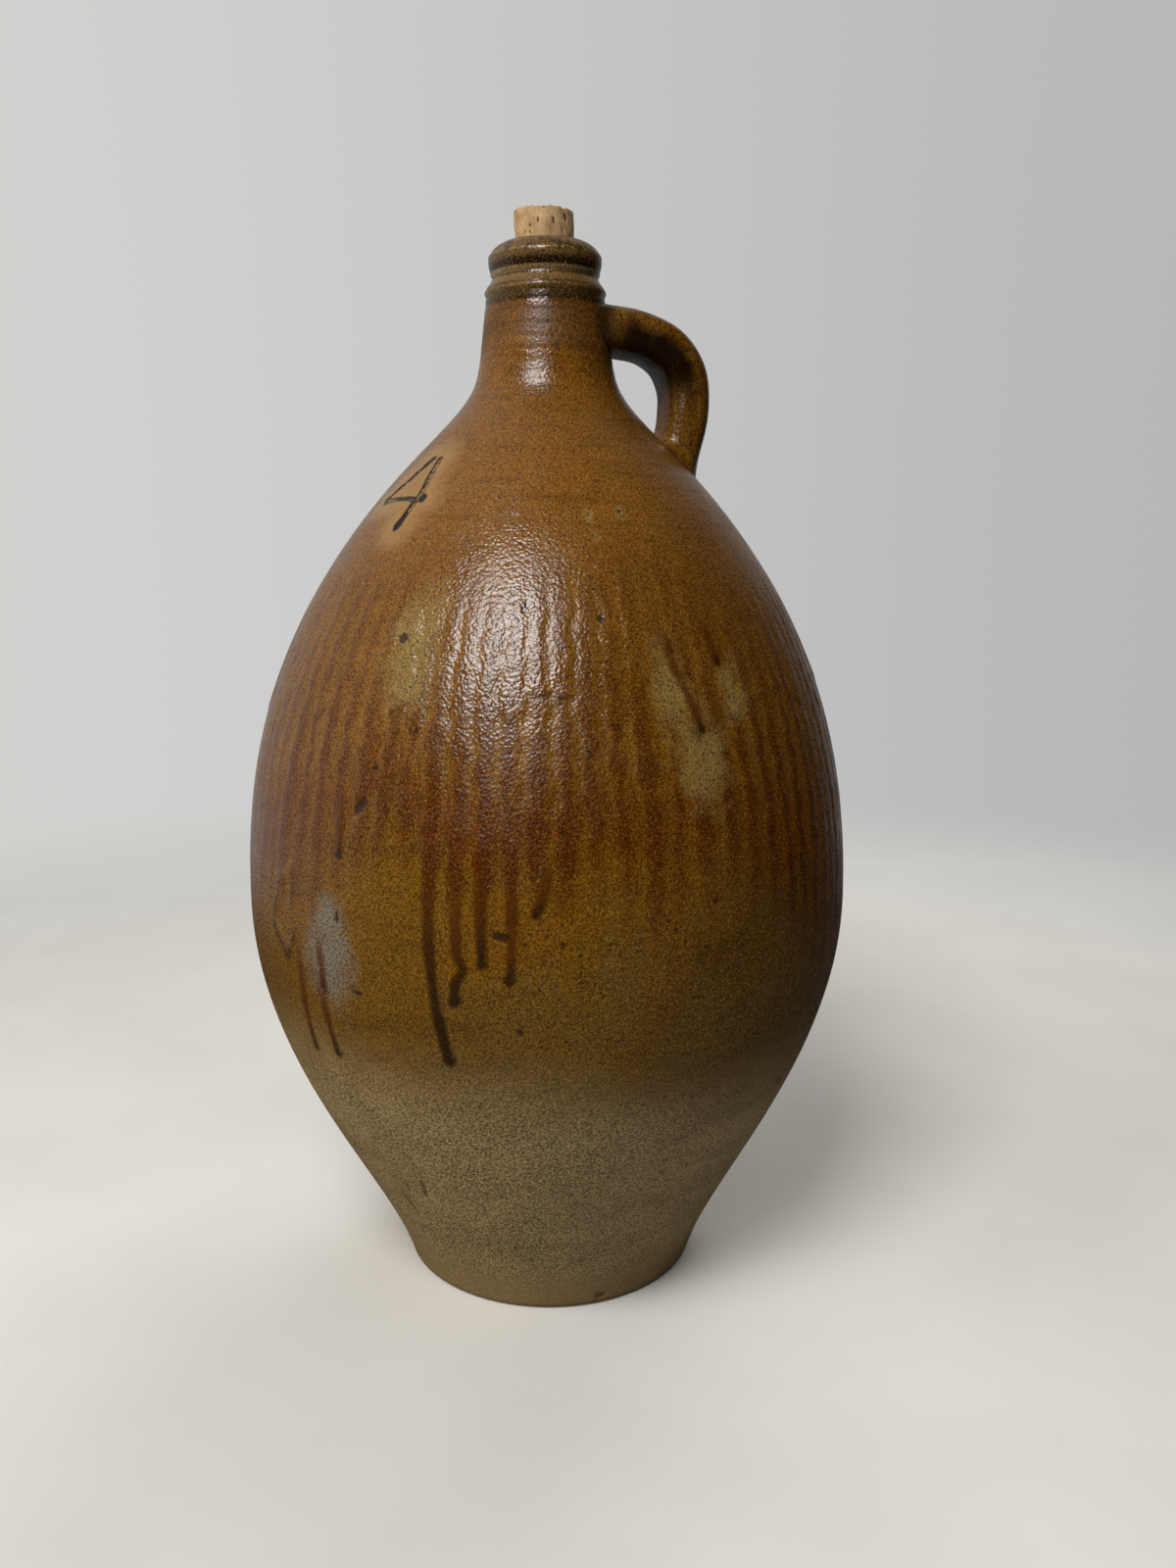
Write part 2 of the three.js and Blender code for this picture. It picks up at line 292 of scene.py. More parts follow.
# the relief functions give how far each point stands out in mm, and what the finish needs to know there
def runRelief(turn, height):
    r = runs
    spin = np.radians(turn)
    across = (turn - r["firstTurn"]) / 360 * r["count"] + 0.14 * np.sin(spin * 5 + 1)
    for share, step, twist, waves in r["waver"]:
        across = across + share * np.sin(height / step + twist * np.sin(spin * waves))
    index = np.floor(across + 0.5).astype(int) % r["count"]
    across = 2 * (across - np.floor(across + 0.5))
    crest = 1 - np.abs(across) ** r["flatness"]
    finger = 1 - np.abs(across) ** r["fingerRound"]
    coatEdge = coatEdgeAt(turn) + 3 * np.sin(spin * 13)
    coatDrop = height - (coatEdge + r["coatRise"] * across ** 2 - runFinger[index] * finger)
    lobeEdge = r["lobeHeight"] + 3 * np.sin(spin * 4 + 2)
    lobeDrop = height - (lobeEdge + r["lobeRise"] * across ** 2 - runLobe[index] * finger)
    curl = runCurl[index] * finger
    top = r["top"] + 5 * np.sin(spin * 6)
    within = (1 - ease(height, top - r["topFade"], top)) * ease(coatDrop, *r["coatFade"])
    push = within * (r["proud"] * runPush[index] * crest - r["valley"])
    lobe = np.sqrt(curl) * ease(lobeDrop, -0.6, 1.4) * np.exp(-np.maximum(lobeDrop, 0) / r["lobeFade"])
    push = push + within * r["lobeProud"] * lobe
    looks = dict(
        coatDrop=coatDrop, lobeDrop=np.clip(lobeDrop, -40, 40), lobeCurl=curl, runMask=within,
        runEdge=np.abs(across) - 0.5 * (runPush[index] - 0.75),
    )
    return push, looks


# throwing: slow unevenness all round, fine rings towards the neck, and rings turned into lip and collar
throwing = dict(
    ringsFrom=(300, 350), ringsTo=(412, 416), turnedWidth=0.55, turnedWaver=0.15,
    turned=[  # height and proud of each ring
        (433.9, 0.26), (427.0, 0.45), (425.6, -0.2), (423.2, 0.12),
        (421.2, -0.25), (420.0, 0.25), (414.7, -0.2),
    ],
)


def throwingRelief(turn, height):
    t = throwing
    spin = np.radians(turn)
    push = 0.3 * np.sin(spin * 2 + height / 60) + 0.2 * np.sin(spin * 3 - height / 33 + 1)
    ringed = ease(height, *t["ringsFrom"]) * (1 - ease(height, *t["ringsTo"]))
    rings = 0.04 * np.sin(height * 1.33 + np.sin(spin + 1)) + 0.02 * np.sin(height * 2.4 + 2 * np.sin(spin))
    push = push + ringed * rings
    for ringHeight, proud in t["turned"]:
        off = height - ringHeight - t["turnedWaver"] * np.sin(spin * 2)
        push = push + proud * np.exp(-(off / t["turnedWidth"]) ** 2)
    return push, dict(rightward=np.sin(spin))


# dark drips that ran on below the coat: turn and height down each one; the hidden ones are drawn by lot
drips = dict(
    bead=1.2, proud=0.55, seed=21, hiddenTurns=(78, 282), hiddenShare=0.3, hiddenStart=12,
    hiddenLength=(18, 70), hiddenDrift=1.2, hiddenDark=(0.15, 0.6), hiddenWidth=(1.5, 2.1),
    tracks=[  # the track, the length of its dark end and its half width; a bead is so many half widths
        ([(-18.4, 226), (-17.7, 204), (-17.3, 177), (-16.6, 160), (-15.0, 135.5)], 110, 2.1),
        ([(-12.9, 212), (-12.9, 178), (-11.6, 172), (-13.2, 166.5), (-13.3, 159.5)], 34, 1.9),
        ([(-9.0, 218), (-8.9, 196), (-8.7, 174.5)], 24, 1.9),
        ([(-4.1, 218), (-4.0, 201), (-4.1, 174.7), (-4.4, 168.8)], 11, 1.9),
        ([(1.8, 216), (1.3, 201.6), (-0.2, 192.5)], 7, 1.6),
        ([(-45.0, 182), (-45.0, 168.8), (-45.2, 147), (-45.4, 126.9)], 14, 1.7),
        ([(-39.6, 180), (-39.3, 169.3), (-38.7, 156.4)], 5, 1.5),
        ([(-40.0, 163), (-39.6, 151.9), (-38.7, 128.7)], 14, 1.7),
        ([(23.8, 296), (26.2, 276), (29.8, 253.5)], 5, 1.6),
        ([(25.2, 289), (25.9, 280.4)], 3, 1.4),
        ([(35.2, 296), (36.3, 276.6)], 4, 1.5),
        ([(-35.4, 232), (-35.0, 208)], 5, 1.4),
    ],
)


def hiddenDrips():
    d = drips
    dice = np.random.default_rng(d["seed"])
    tracks = []
    for turn in np.arange(*d["hiddenTurns"], 360 / runs["count"]):
        if dice.random() < d["hiddenShare"]:
            turn = (turn + 180) % 360 - 180
            start = float(coatEdgeAt(turn)) + d["hiddenStart"]
            length = dice.uniform(*d["hiddenLength"])
            drift = dice.uniform(-d["hiddenDrift"], d["hiddenDrift"])
            middle = (turn + drift * 0.3, start - length * 0.55)
            track = [(turn, start), middle, (turn + drift, start - length)]
            tracks.append((track, dice.uniform(*d["hiddenDark"]) * length, dice.uniform(*d["hiddenWidth"])))
    return tracks


def dripRelief(points):
    height = points[:, 2]
    edge = np.full(len(points), -6.0)
    tone = np.zeros(len(points))
    dark = np.zeros(len(points))
    for track, darkReach, halfWidth in drips["tracks"] + hiddenDrips():
        start, end = track[0][1], track[-1][1]
        half = halfWidth * (1 + 0.12 * np.sin(height / 5.5 + start) + 0.3 * ease(height, start - 30, start))
        fromEnd = np.linalg.norm(points - onWall(*track[-1]), axis=1)
        inside = np.maximum(half - trackGap(points, track), drips["bead"] * halfWidth - fromEnd)
        nearer = inside > edge
        edge = np.where(nearer, inside, edge)
        tone = np.where(nearer, np.clip((start - height) / (start - end), 0, 1), tone)
        dark = np.where(nearer, 1 - ease(height - end, 0, darkReach), dark)
    push = drips["proud"] * ease(edge, -0.4, 1.7) * (0.35 + 0.65 * tone)
    return push, dict(dripEdge=edge, dripTone=tone, dripDark=dark)


# the incised capacity figure, from the turns and heights of its strokes
figure = dict(
    depth=0.75, burr=0.15, foot=320, top=357,
    strokes=[  # the track, then its half width; the last ones thicken the ends
        ([(-50.0, 352.0), (-55.4, 343.6), (-62.0, 335.4)], 1.4),
        ([(-61.4, 335.2), (-40.0, 335.6)], 1.5),
        ([(-45.4, 351.4), (-42.4, 338), (-44.4, 325.2)], 1.6),
        ([(-50.2, 351.9), (-52.0, 349.2)], 1.7),
        ([(-40.4, 336.2)], 2.1),
        ([(-44.1, 328.2), (-44.5, 325.2)], 2.0),
    ],
    solidFrom=3,
)


def figureRelief(points):
    strokes = np.array([half - trackGap(points, track) for track, half in figure["strokes"]])
    edge = strokes.max(axis=0)
    solid = strokes[figure["solidFrom"]:].max(axis=0)
    push = figure["burr"] * ease(edge, -1.6, -0.6) - figure["depth"] * ease(edge, -0.5, 0.6)
    return push, dict(figureEdge=np.maximum(edge, -14), figureSolid=np.maximum(solid, -4))


# pits, nicks and chips: turns and heights, half width and depth in mm
flaws = [
    ([(-28.2, 285.5)], 2.5, 0.4), ([(-2.6, 297.4)], 1.93, 0.5), ([(12.8, 292.6)], 1.88, 0.45),
    ([(22.7, 330.8)], 1.35, 0.3), ([(13.2, 329.6)], 1.1, 0.25), ([(14.6, 321.5)], 1.1, 0.3),
    ([(-32.0, 224.6), (-30.3, 228.5)], 1.9, 0.6), ([(-28.9, 240.5)], 1.6, 0.5),
    ([(-6.5, 184.9), (-4.9, 184.1)], 1.9, 0.6), ([(-1.9, 181.5)], 1.55, 0.4), ([(-2.9, 149.1)], 1.66, 0.5),
    ([(-32.3, 158.2), (-30.7, 157.3)], 1.44, 0.5), ([(-35.2, 186), (-34.9, 183)], 1.3, 0.4),
    ([(-29.7, 68.9), (-30.6, 62.1), (-30.9, 59.6)], 1.35, 0.5), ([(-10.6, 115.7)], 1.55, 0.4),
    ([(-36.0, 65.0), (-36.0, 60.0)], 1.1, 0.3), ([(-40.3, 55.1), (-39.1, 45.7)], 1.1, 0.3),
    ([(4.0, 181.4)], 1.6, 0.3), ([(22.2, 183.8)], 1.55, 0.3), ([(29.4, 192.5)], 1.49, 0.4),
    ([(56, 104), (58, 101)], 1.6, 0.7), ([(18.9, 4.2), (21.0, 4.6)], 1.6, 1.0), ([(-96, 3)], 2.37, 1.0),
    ([(140, 4), (144, 4)], 2.04, 1.0), ([(118, 232)], 1.93, 0.5), ([(-120, 268)], 1.88, 0.5),
    ([(165, 310)], 1.82, 0.4), ([(-150, 150), (-147, 146)], 1.6, 0.6), ([(95, 90)], 1.77, 0.5),
]


def flawRelief(points):
    edge = np.full(len(points), -6.0)
    push = np.zeros(len(points))
    for track, half, depth in flaws:
        inside = half - trackGap(points, track)
        edge = np.maximum(edge, inside)
        push = push - depth * ease(inside, -0.5, half * 0.8)
    return push, dict(flawEdge=edge)


# the ring-shaped scar at the left of the belly
scar = dict(turn=-49.6, height=180, halfTurn=3.2, halfHeight=15, halfWidth=1.5, proud=0.6, mmPerDegree=2.2)


def scarRelief(turn, height):
    s = scar
    aside, rise = (turn - s["turn"]) / s["halfTurn"], (height - s["height"]) / s["halfHeight"]
    angle = np.arctan2(rise, aside)
    ring = np.hypot(aside, rise) * (1 + 0.12 * np.sin(3 * angle + 1) + 0.08 * np.sin(5 * angle))
    gap = np.abs(ring - 1) * s["halfTurn"] * s["mmPerDegree"]
    push = s["proud"] * (1 - ease(gap, 0, s["halfWidth"] * 1.6))
    return push, dict(scarGap=np.minimum(gap, 8))


# turn, height and half sizes (degrees, mm) of the pale places in the glaze
blooms = dict(
    greyBloom=[(-37.4, 168, 8.4, 25), (-37.0, 182, 5.0, 17), (150, 190, 6, 18)],
    ashBloom=[
        (-25.0, 281, 9.0, 32), (29.5, 243, 6.5, 26), (38.7, 266, 4.6, 15), (25, 266, 5, 26),
        (-140, 262, 8, 28), (22.7, 331, 2.2, 4.2), (13.2, 329, 2.0, 3.6), (14.6, 321, 2.2, 3.8),
    ],
)


def bloom(turn, height, spots):
    best = np.full(len(turn), -1.0)
    for spotTurn, spotHeight, halfTurn, halfHeight in spots:
        off = np.hypot((turn - spotTurn) / halfTurn, (height - spotHeight) / halfHeight)
        best = np.maximum(best, 1 - off)
    return best


def reliefOfWall(points):
    turn, height = turnOf(points), points[:, 2]
    push = np.zeros(len(points))
    looks = {name: bloom(turn, height, spots) for name, spots in blooms.items()}
    for layerPush, layerLooks in (
        runRelief(turn, height), throwingRelief(turn, height), dripRelief(points),
        figureRelief(points), flawRelief(points), scarRelief(turn, height),
    ):
        push = push + layerPush
        looks.update(layerLooks)
    return push, looks


def dressWall(piece):
    w = wall
    mesh = piece.data
    points = readPoints(mesh)
    height = points[:, 2]
    radius = np.hypot(points[:, 0], points[:, 1])
    onSkin = np.abs(radius - wallRadius(height)) < w["skinDepth"]
    outside = onSkin & (radius > w["boreRadius"] + w["boreClear"])
    push, looks = reliefOfWall(points)
    push = np.where(outside, push, 0) * ease(height, 0, w["edgeFade"])
    push = push * (1 - ease(height, lipTop - w["edgeFade"], lipTop))
    flat = points[:, :2] / np.maximum(radius, 1e-6)[:, None]
    points[:, :2] += flat * push[:, None]
    writePoints(mesh, points)
    looks["inside"] = np.where(outside | (height < 0.5), 0.0, 1.0)
    writeLooks(mesh, looks)
    smoothFaces(mesh, w["sharpAngle"])


# each section's outline: up the outside, over its joint or the mouth, and back down the inside
def lowerRows():
    w = wall
    top, cove = bellyJoint - w["jointRow"], w["floor"] + w["floorCove"]
    rows = [(r, 0) for r in w["undersideRings"]] + wallRows(0, top, w["rowStep"])
    rows += [outerPoint(top), outerPoint(bellyJoint)] + innerRows(bellyJoint, cove, w["lowerInnerStep"])
    return rows + [(innerRadius(cove) - w["floorCorner"], w["floor"]), (0, w["floor"])]


def upperRows():
    w = wall
    top = neckJoint - w["jointRow"]
    lobeFoot, lobeTop = runs["lobeHeight"] - runs["lobeBand"], runs["lobeHeight"] + runs["lobeBand"]
    rows = [outerPoint(bellyJoint)] + wallRows(bellyJoint + w["jointRow"], lobeFoot, w["rowStep"])
    rows += wallRows(lobeFoot, lobeTop, w["markRowStep"]) + wallRows(lobeTop, figure["foot"], w["rowStep"])
    rows += wallRows(figure["foot"], figure["top"], w["markRowStep"])
    rows += wallRows(figure["top"], top, w["rowStep"]) + [outerPoint(top), outerPoint(neckJoint)]
    return rows + innerRows(neckJoint, bellyJoint, w["upperInnerStep"])


def neckRows():
    w = wall
    bore, foot, flare = w["boreRadius"], w["boreFoot"], w["boreFlare"]
    edge = bore + w["mouthEdge"]
    rows = [outerPoint(neckJoint)] + wallRows(neckJoint + w["jointRow"], lipTop, w["neckRowStep"])
    rows.append((edge, lipTop))
    rows += bow((edge, lipTop), (bore, lipTop), (bore, lipTop - w["mouthEdge"]), 6)[1:]
    rows += [(bore, float(z)) for z in np.linspace(lipTop - w["boreTop"], foot, w["boreRows"])]
    rows.append((bore + flare, foot - flare))
    return rows + [(innerRadius(z), z) for z in (w["neckInside"], neckJoint)]


lowerBody = spinPiece("lowerBody", lowerRows(), wall["sides"], False)
upperBody = spinPiece("upperBody", upperRows(), wall["sides"], True)
neckAndLip = spinPiece("neckAndLip", neckRows(), wall["neckSides"], True)
wallPieces = (lowerBody, upperBody, neckAndLip)
for piece in wallPieces:
    dressWall(piece)
print("wall thrown in three pieces:", [len(p.data.polygons) for p in wallPieces])

# the pulled strap handle, from the neck round to the shoulder, in the plane of the axis (x, z in mm)
strap = dict(
    rootIn=12.2, rootHeight=406.7, reach=58.8, bendHeight=377.8, arch=38, drop=18,
    tailSide=12, tailHeight=355, tailLean=22, tailPull=8, sunk=2.2,
    halfWidth=17, halfThickness=9.6, squareness=3.0, hollow=0.7, sections=84, sides=72, sharpAngle=62,
    rootSmear=0.04, rootWrap=26.0, rootCling=1.15, rootShear=0.1,
    tailFlare=0.06, tailSmear=0.24, tailWrap=62.0, tailShear=0.42,
    chips=[  # place, reach and depth
        ((31, -5, 415.4), 3.2, 0.9), ((67, -13, 384), 1.2, 0.4), ((52, 14, 405), 2.2, 0.6),
    ],
)


def strapPath():
    s = strap
    root = (s["rootIn"], s["rootHeight"])
    bendPoint = (s["reach"], s["bendHeight"])
    aboveBend = (s["reach"], s["bendHeight"] + s["drop"])
    belowBend = (s["reach"], s["bendHeight"] - s["tailSide"])
    tail = (float(wallRadius(s["tailHeight"])), s["tailHeight"])
    back = 180 + s["tailLean"]
    line = bend(root, (root[0] + s["arch"], root[1]), aboveBend, bendPoint, 60)
    line += bend(bendPoint, belowBend, along(tail, back, -s["tailPull"]), tail, 40)[1:]
    line.append(along(tail, back, s["sunk"]))
    rootSkin = wallRadius(s["rootHeight"]) - s["sunk"]
    line = np.array([p for p in line if p[0] > rootSkin or p[1] < s["rootHeight"] - 5])
    run = runAlong(line)
    even = np.linspace(0, run[-1], s["sections"])
    return np.stack([np.interp(even, run, line[:, 0]), np.interp(even, run, line[:, 1])], axis=1)


def strapFrames():
    s = strap
    path = strapPath()
    ways = np.gradient(path, axis=0)
    ways /= np.hypot(*ways.T)[:, None]
    frames = []
    for i, (centre, way) in enumerate(zip(path, ways)):
        share = i / (len(path) - 1)
        atRoot, atTail = 1 - ease(share, 0, 0.14), ease(share, 0.86, 1)
        swell = 1 + s["tailFlare"] * atTail + s["rootSmear"] * max(0, 1 - share / 0.09) ** 2
        swell += s["tailSmear"] * max(0, 1 - (1 - share) / 0.11) ** 2
        shear = -s["rootShear"] * atRoot + s["tailShear"] * atTail
        forward = Vector((way[0], 0, way[1]))
        outward = Vector((-way[1], 0, way[0])) + forward * shear
        columns = [outward * s["halfThickness"] * swell, Vector((0, s["halfWidth"] * swell, 0)), forward]
        matrix = Matrix.Identity(4)
        for c, column in enumerate(columns):
            matrix.col[c] = (*(column * mm), 0)
        matrix.translation = Vector((centre[0], 0, centre[1])) * mm
        frames.append(matrix)
    return frames


def makeHandle():
    s = strap
    bm = bmesh.new()
    station = bm.verts.layers.float.new("station")
    ring = bmesh.ops.create_circle(bm, cap_ends=False, radius=1, segments=s["sides"])["verts"]
    for dot in ring:  # a rounded strap rather than an ellipse
        angle = math.atan2(dot.co.y, dot.co.x)
        power = 2 / s["squareness"]
        dot.co.x = math.copysign(abs(math.cos(angle)) ** power, math.cos(angle))
        dot.co.y = math.copysign(abs(math.sin(angle)) ** power, math.sin(angle))
    edges = list(bm.edges)
    frames = strapFrames()
    before = Matrix.Identity(4)
    for i, matrix in enumerate(frames):
        if i:
            made = bmesh.ops.extrude_edge_only(bm, edges=edges)["geom"]
            ring = [g for g in made if isinstance(g, bmesh.types.BMVert)]
            edges = [g for g in made if isinstance(g, bmesh.types.BMEdge) and g.is_boundary]
        bmesh.ops.transform(bm, matrix=matrix @ before.inverted(), verts=ring)
        for dot in ring:
            dot[station] = i
        before = matrix
    bmesh.ops.holes_fill(bm, edges=[e for e in bm.edges if e.is_boundary], sides=0)
    bmesh.ops.recalc_face_normals(bm, faces=bm.faces)
    return toObject("strapHandle", bm), frames


def dressHandle(piece, frames):
    s = strap
    mesh = piece.data
    points = readPoints(mesh)
    stations = np.empty(len(points), dtype=np.float32)
    mesh.attributes["station"].data.foreach_get("value", stations)
    share = stations / (s["sections"] - 1)
    turns = np.array([np.array(m) for m in frames])[stations.astype(int)]
    local = np.linalg.solve(turns[:, :3, :3], (points * mm - turns[:, :3, 3])[..., None])[..., 0]
    outer, side = local[:, 0], local[:, 1]
    way = turns[:, :3, 2] / mm
    outward = turns[:, :3, 0] / np.linalg.norm(turns[:, :3, 0], axis=1)[:, None]

    # the ends follow the round of the neck and of the shoulder
    wide = (side * s["halfWidth"]) ** 2
    wrap = wide / (2 * s["tailWrap"]) * ease(share, 0.84, 1)
    wrap = wrap - wide / (2 * s["rootWrap"]) * s["rootCling"] * (1 - ease(share, 0, 0.16))
    points += way * wrap[:, None]

    # a shallow hollow along the outer face, slow lumps and a few chips
    hollow = s["hollow"] * np.exp(-(side / 0.45) ** 2) * ease(outer, 0.2, 0.9)
    hollow = hollow * ease(share, 0.1, 0.3) * (1 - ease(share, 0.7, 0.95))
    lumps = 0.16 * np.sin(share * 15 + 2 * side) + 0.07 * np.sin(share * 31 + 3 * outer + 1)
    lumps = lumps + 0.12 * np.sin(5 * side + 9 * share)
    points += outward * (lumps * outer * (1 - ease(share, 0.9, 1)) - hollow)[:, None]
    points[:, 1] += 0.25 * np.sin(share * 19 + outer) * side
    for spot, reach, depth in s["chips"]:
        near = 1 - ease(np.linalg.norm(points - np.array(spot), axis=1), reach * 0.3, reach)
        points -= outward * (near * depth)[:, None]
    writePoints(mesh, points)
    mesh.attributes.remove(mesh.attributes["station"])
    writeLooks(mesh, dict(share=share, outer=outer, side=side))
    smoothFaces(mesh, s["sharpAngle"])


strapHandle, strapMatrices = makeHandle()
dressHandle(strapHandle, strapMatrices)
print("handle pulled:", len(strapHandle.data.polygons), "faces")

# the bare cork, with a swollen head, pores and a worn top edge
plug = dict(
    foot=boxFoot("cork"), top=boxTop("cork"), radius=11.6, swell=0.6, edge=0.8, rowStep=0.8, sides=168,
    lean=0.9, pores=150, poreSeed=5, poreTopShare=0.25, poreDepth=0.35,
    rimWear=0.25, topWear=0.8, sharpAngle=50,
)
headRadius = plug["radius"] + plug["swell"]


def corkRows():
    c = plug
    side = [(c["radius"], c["foot"] + c["edge"]), (c["radius"], lipTop - 1)]
    side += [(c["radius"] + 0.3, lipTop + 1.5), (headRadius, lipTop + 6), (headRadius, c["top"] - c["edge"])]
    rows = [(r, c["foot"]) for r in np.linspace(0, c["radius"] - c["edge"], 12)]
    heights = np.arange(side[0][1], side[-1][1], c["rowStep"])
    rows += [(float(np.interp(z, *np.array(side)[:, ::-1].T)), float(z)) for z in heights]
    rows += bow(side[-1], (headRadius, c["top"]), (headRadius - c["edge"], c["top"]), 5)
    return rows + [(r, c["top"]) for r in np.linspace(headRadius - c["edge"], 0, 16)[1:]]


# how deep each point lies inside the nearest pore, in mm
def corkPores(points):
    c = plug
    dice = np.random.default_rng(c["poreSeed"])
    poreEdge = np.full(len(points), -3.0)
    for _ in range(c["pores"]):
        angle = dice.uniform(-math.pi, math.pi)
        onTop = dice.random() < c["poreTopShare"]
        reach = headRadius * math.sqrt(dice.random()) if onTop else headRadius
        level = c["top"] if onTop else dice.uniform(c["foot"] + 1, c["top"] - 0.6)
        axis = math.radians(frontAngle) + angle
        spot = np.array([math.cos(axis) * reach, math.sin(axis) * reach, level])
        stretch = np.array([1, 1, dice.uniform(0.35, 1.0)])
        size = dice.uniform(0.25, 0.9) ** 1.5 + 0.12
        poreEdge = np.maximum(poreEdge, size - np.linalg.norm((points - spot) * stretch, axis=1))
    return poreEdge


def makeCork():
    c = plug
    piece = spinPiece("corkStopper", corkRows(), c["sides"], False)
    mesh = piece.data
    points = readPoints(mesh)
    normals = np.array([v.normal for v in mesh.vertices])
    radius = np.hypot(points[:, 0], points[:, 1])
    turn, height = np.radians(turnOf(points)), points[:, 2]  # the heights follow the points as they move
    head = ease(height, lipTop - 0.5, lipTop + 3)
    lumps = 0.12 * np.sin(turn * 5 + height / 3) + 0.09 * np.sin(turn * 13 + 1)
    lumps = lumps + 0.08 * np.sin(turn * 29 + height)
    rim = ease(radius, headRadius - 2.2, headRadius - 0.4) * ease(height, c["top"] - 2.5, c["top"] - 0.3)
    worn = np.sin(turn * 3 + 0.6) + 0.7 * np.sin(turn * 7 + 2) + 0.5 * np.sin(turn * 17)
    worn = rim * np.clip(worn - 0.35, 0, 1.4)
    poreEdge = corkPores(points)
    push = head * lumps - c["poreDepth"] * ease(poreEdge, -0.25, 0.5) - c["rimWear"] * worn
    points += normals * push[:, None]
    points[:, 2] -= c["topWear"] * worn * ease(height, c["top"] - 1.2, c["top"])
    # the head leans a little to the left of the front
    lift = np.maximum(height - lipTop, 0) / (c["top"] - lipTop) * c["lean"]
    points += np.array(wayTo(-90, 0)) * lift[:, None]
    writePoints(mesh, points)
    writeLooks(mesh, dict(poreEdge=poreEdge, rimWear=worn))
    smoothFaces(mesh, c["sharpAngle"])
    return piece


corkStopper = makeCork()
print("cork cut:", len(corkStopper.data.polygons), "faces")


# helpers for the node trees
def addNode(tree, kind, inputs=None, **settings):
    node = tree.nodes.new(kind)
    for key, value in settings.items():
        setattr(node, key, value)
    for key, value in (inputs or {}).items():
        join(tree, node.inputs[key], value)
    return node


def join(tree, socket, value):
    if isinstance(value, bpy.types.NodeSocket):
        tree.links.new(value, socket)
    elif socket.type == "RGBA" and len(value) == 3:
        socket.default_value = (*value, 1)
    else:
        socket.default_value = value


def calc(tree, operation, first, second=0.0, clamp=False):
    inputs = {0: first, 1: second}
    return addNode(tree, "ShaderNodeMath", inputs, operation=operation, use_clamp=clamp).outputs[0]


def plus(tree, first, second):
    return calc(tree, "ADD", first, second)


def minus(tree, first, second):
    return calc(tree, "SUBTRACT", first, second)


def times(tree, first, second):
    return calc(tree, "MULTIPLY", first, second)


def jitter(tree, value, rough, share):
    return plus(tree, value, times(tree, rough, share))


def fade(tree, value, low, high, start=0.0, end=1.0):
    inputs = {"Value": value, "From Min": low, "From Max": high, "To Min": start, "To Max": end}
    return addNode(tree, "ShaderNodeMapRange", inputs, interpolation_type="SMOOTHSTEP").outputs[0]


def paint(tree, factor, under, over, mode="MIX"):
    inputs = {0: factor, 6: under, 7: over}
    return addNode(tree, "ShaderNodeMix", inputs, data_type="RGBA", blend_type=mode).outputs[2]


def darker(tree, factor, colour, tint):
    return paint(tree, factor, colour, paint(tree, 1.0, colour, tint, "MULTIPLY"))


def scaled(tree, colour, level):
    return addNode(tree, "ShaderNodeVectorMath", {0: colour, "Scale": level}, operation="SCALE").outputs[0]


def noise(tree, vector, scale, detail=2.0, roughness=0.5):
    inputs = {"Vector": vector, "Scale": scale, "Detail": detail, "Roughness": roughness}
    return addNode(tree, "ShaderNodeTexNoise", inputs).outputs[0]


def stretched(tree, vector, scale):
    return addNode(tree, "ShaderNodeMapping", {"Vector": vector, "Scale": scale}).outputs[0]


def cells(tree, inputs, feature):
    return addNode(tree, "ShaderNodeTexVoronoi", inputs, feature=feature).outputs["Distance"]


def look(tree, name):
    return addNode(tree, "ShaderNodeAttribute", attribute_name=name).outputs["Fac"]


def rampOf(tree, value, stops):
    node = addNode(tree, "ShaderNodeValToRGB", {"Fac": value})
    elements = node.color_ramp.elements
    while len(elements) < len(stops):
        elements.new(0.5)
    for element, stop in zip(elements, stops):
        element.position = stop[0]
    for element, stop in zip(elements, stops):
        element.color = (*stop[1], 1)
    return node.outputs[0]


vectorSocket, floatSocket = "NodeSocketVector", "NodeSocketFloat"


def newGroup(name, inputs, outputs):
    group = bpy.data.node_groups.new(name, "ShaderNodeTree")
    for title, kind in inputs:
        group.interface.new_socket(title, in_out="INPUT", socket_type=kind)
    for title in outputs:
        group.interface.new_socket(title, in_out="OUTPUT", socket_type=floatSocket)
    return group, group.nodes.new("NodeGroupInput").outputs, group.nodes.new("NodeGroupOutput").inputs


def useGroup(tree, group, inputs):
    node = tree.nodes.new("ShaderNodeGroup")
    node.node_tree = group
    for key, value in inputs.items():
        join(tree, node.inputs[key], value)
    return node.outputs


def newMaterial(name):
    material = bpy.data.materials.new(name)
    material.use_nodes = True
    tree = material.node_tree
    place = addNode(tree, "ShaderNodeTexCoord").outputs["Object"]
    return material, tree, tree.nodes["Principled BSDF"], place


def addBump(tree, shader, skin, strength, distance):
    bump = addNode(tree, "ShaderNodeBump", {"Height": skin, "Strength": strength, "Distance": distance})
    join(tree, shader.inputs["Normal"], bump.outputs[0])


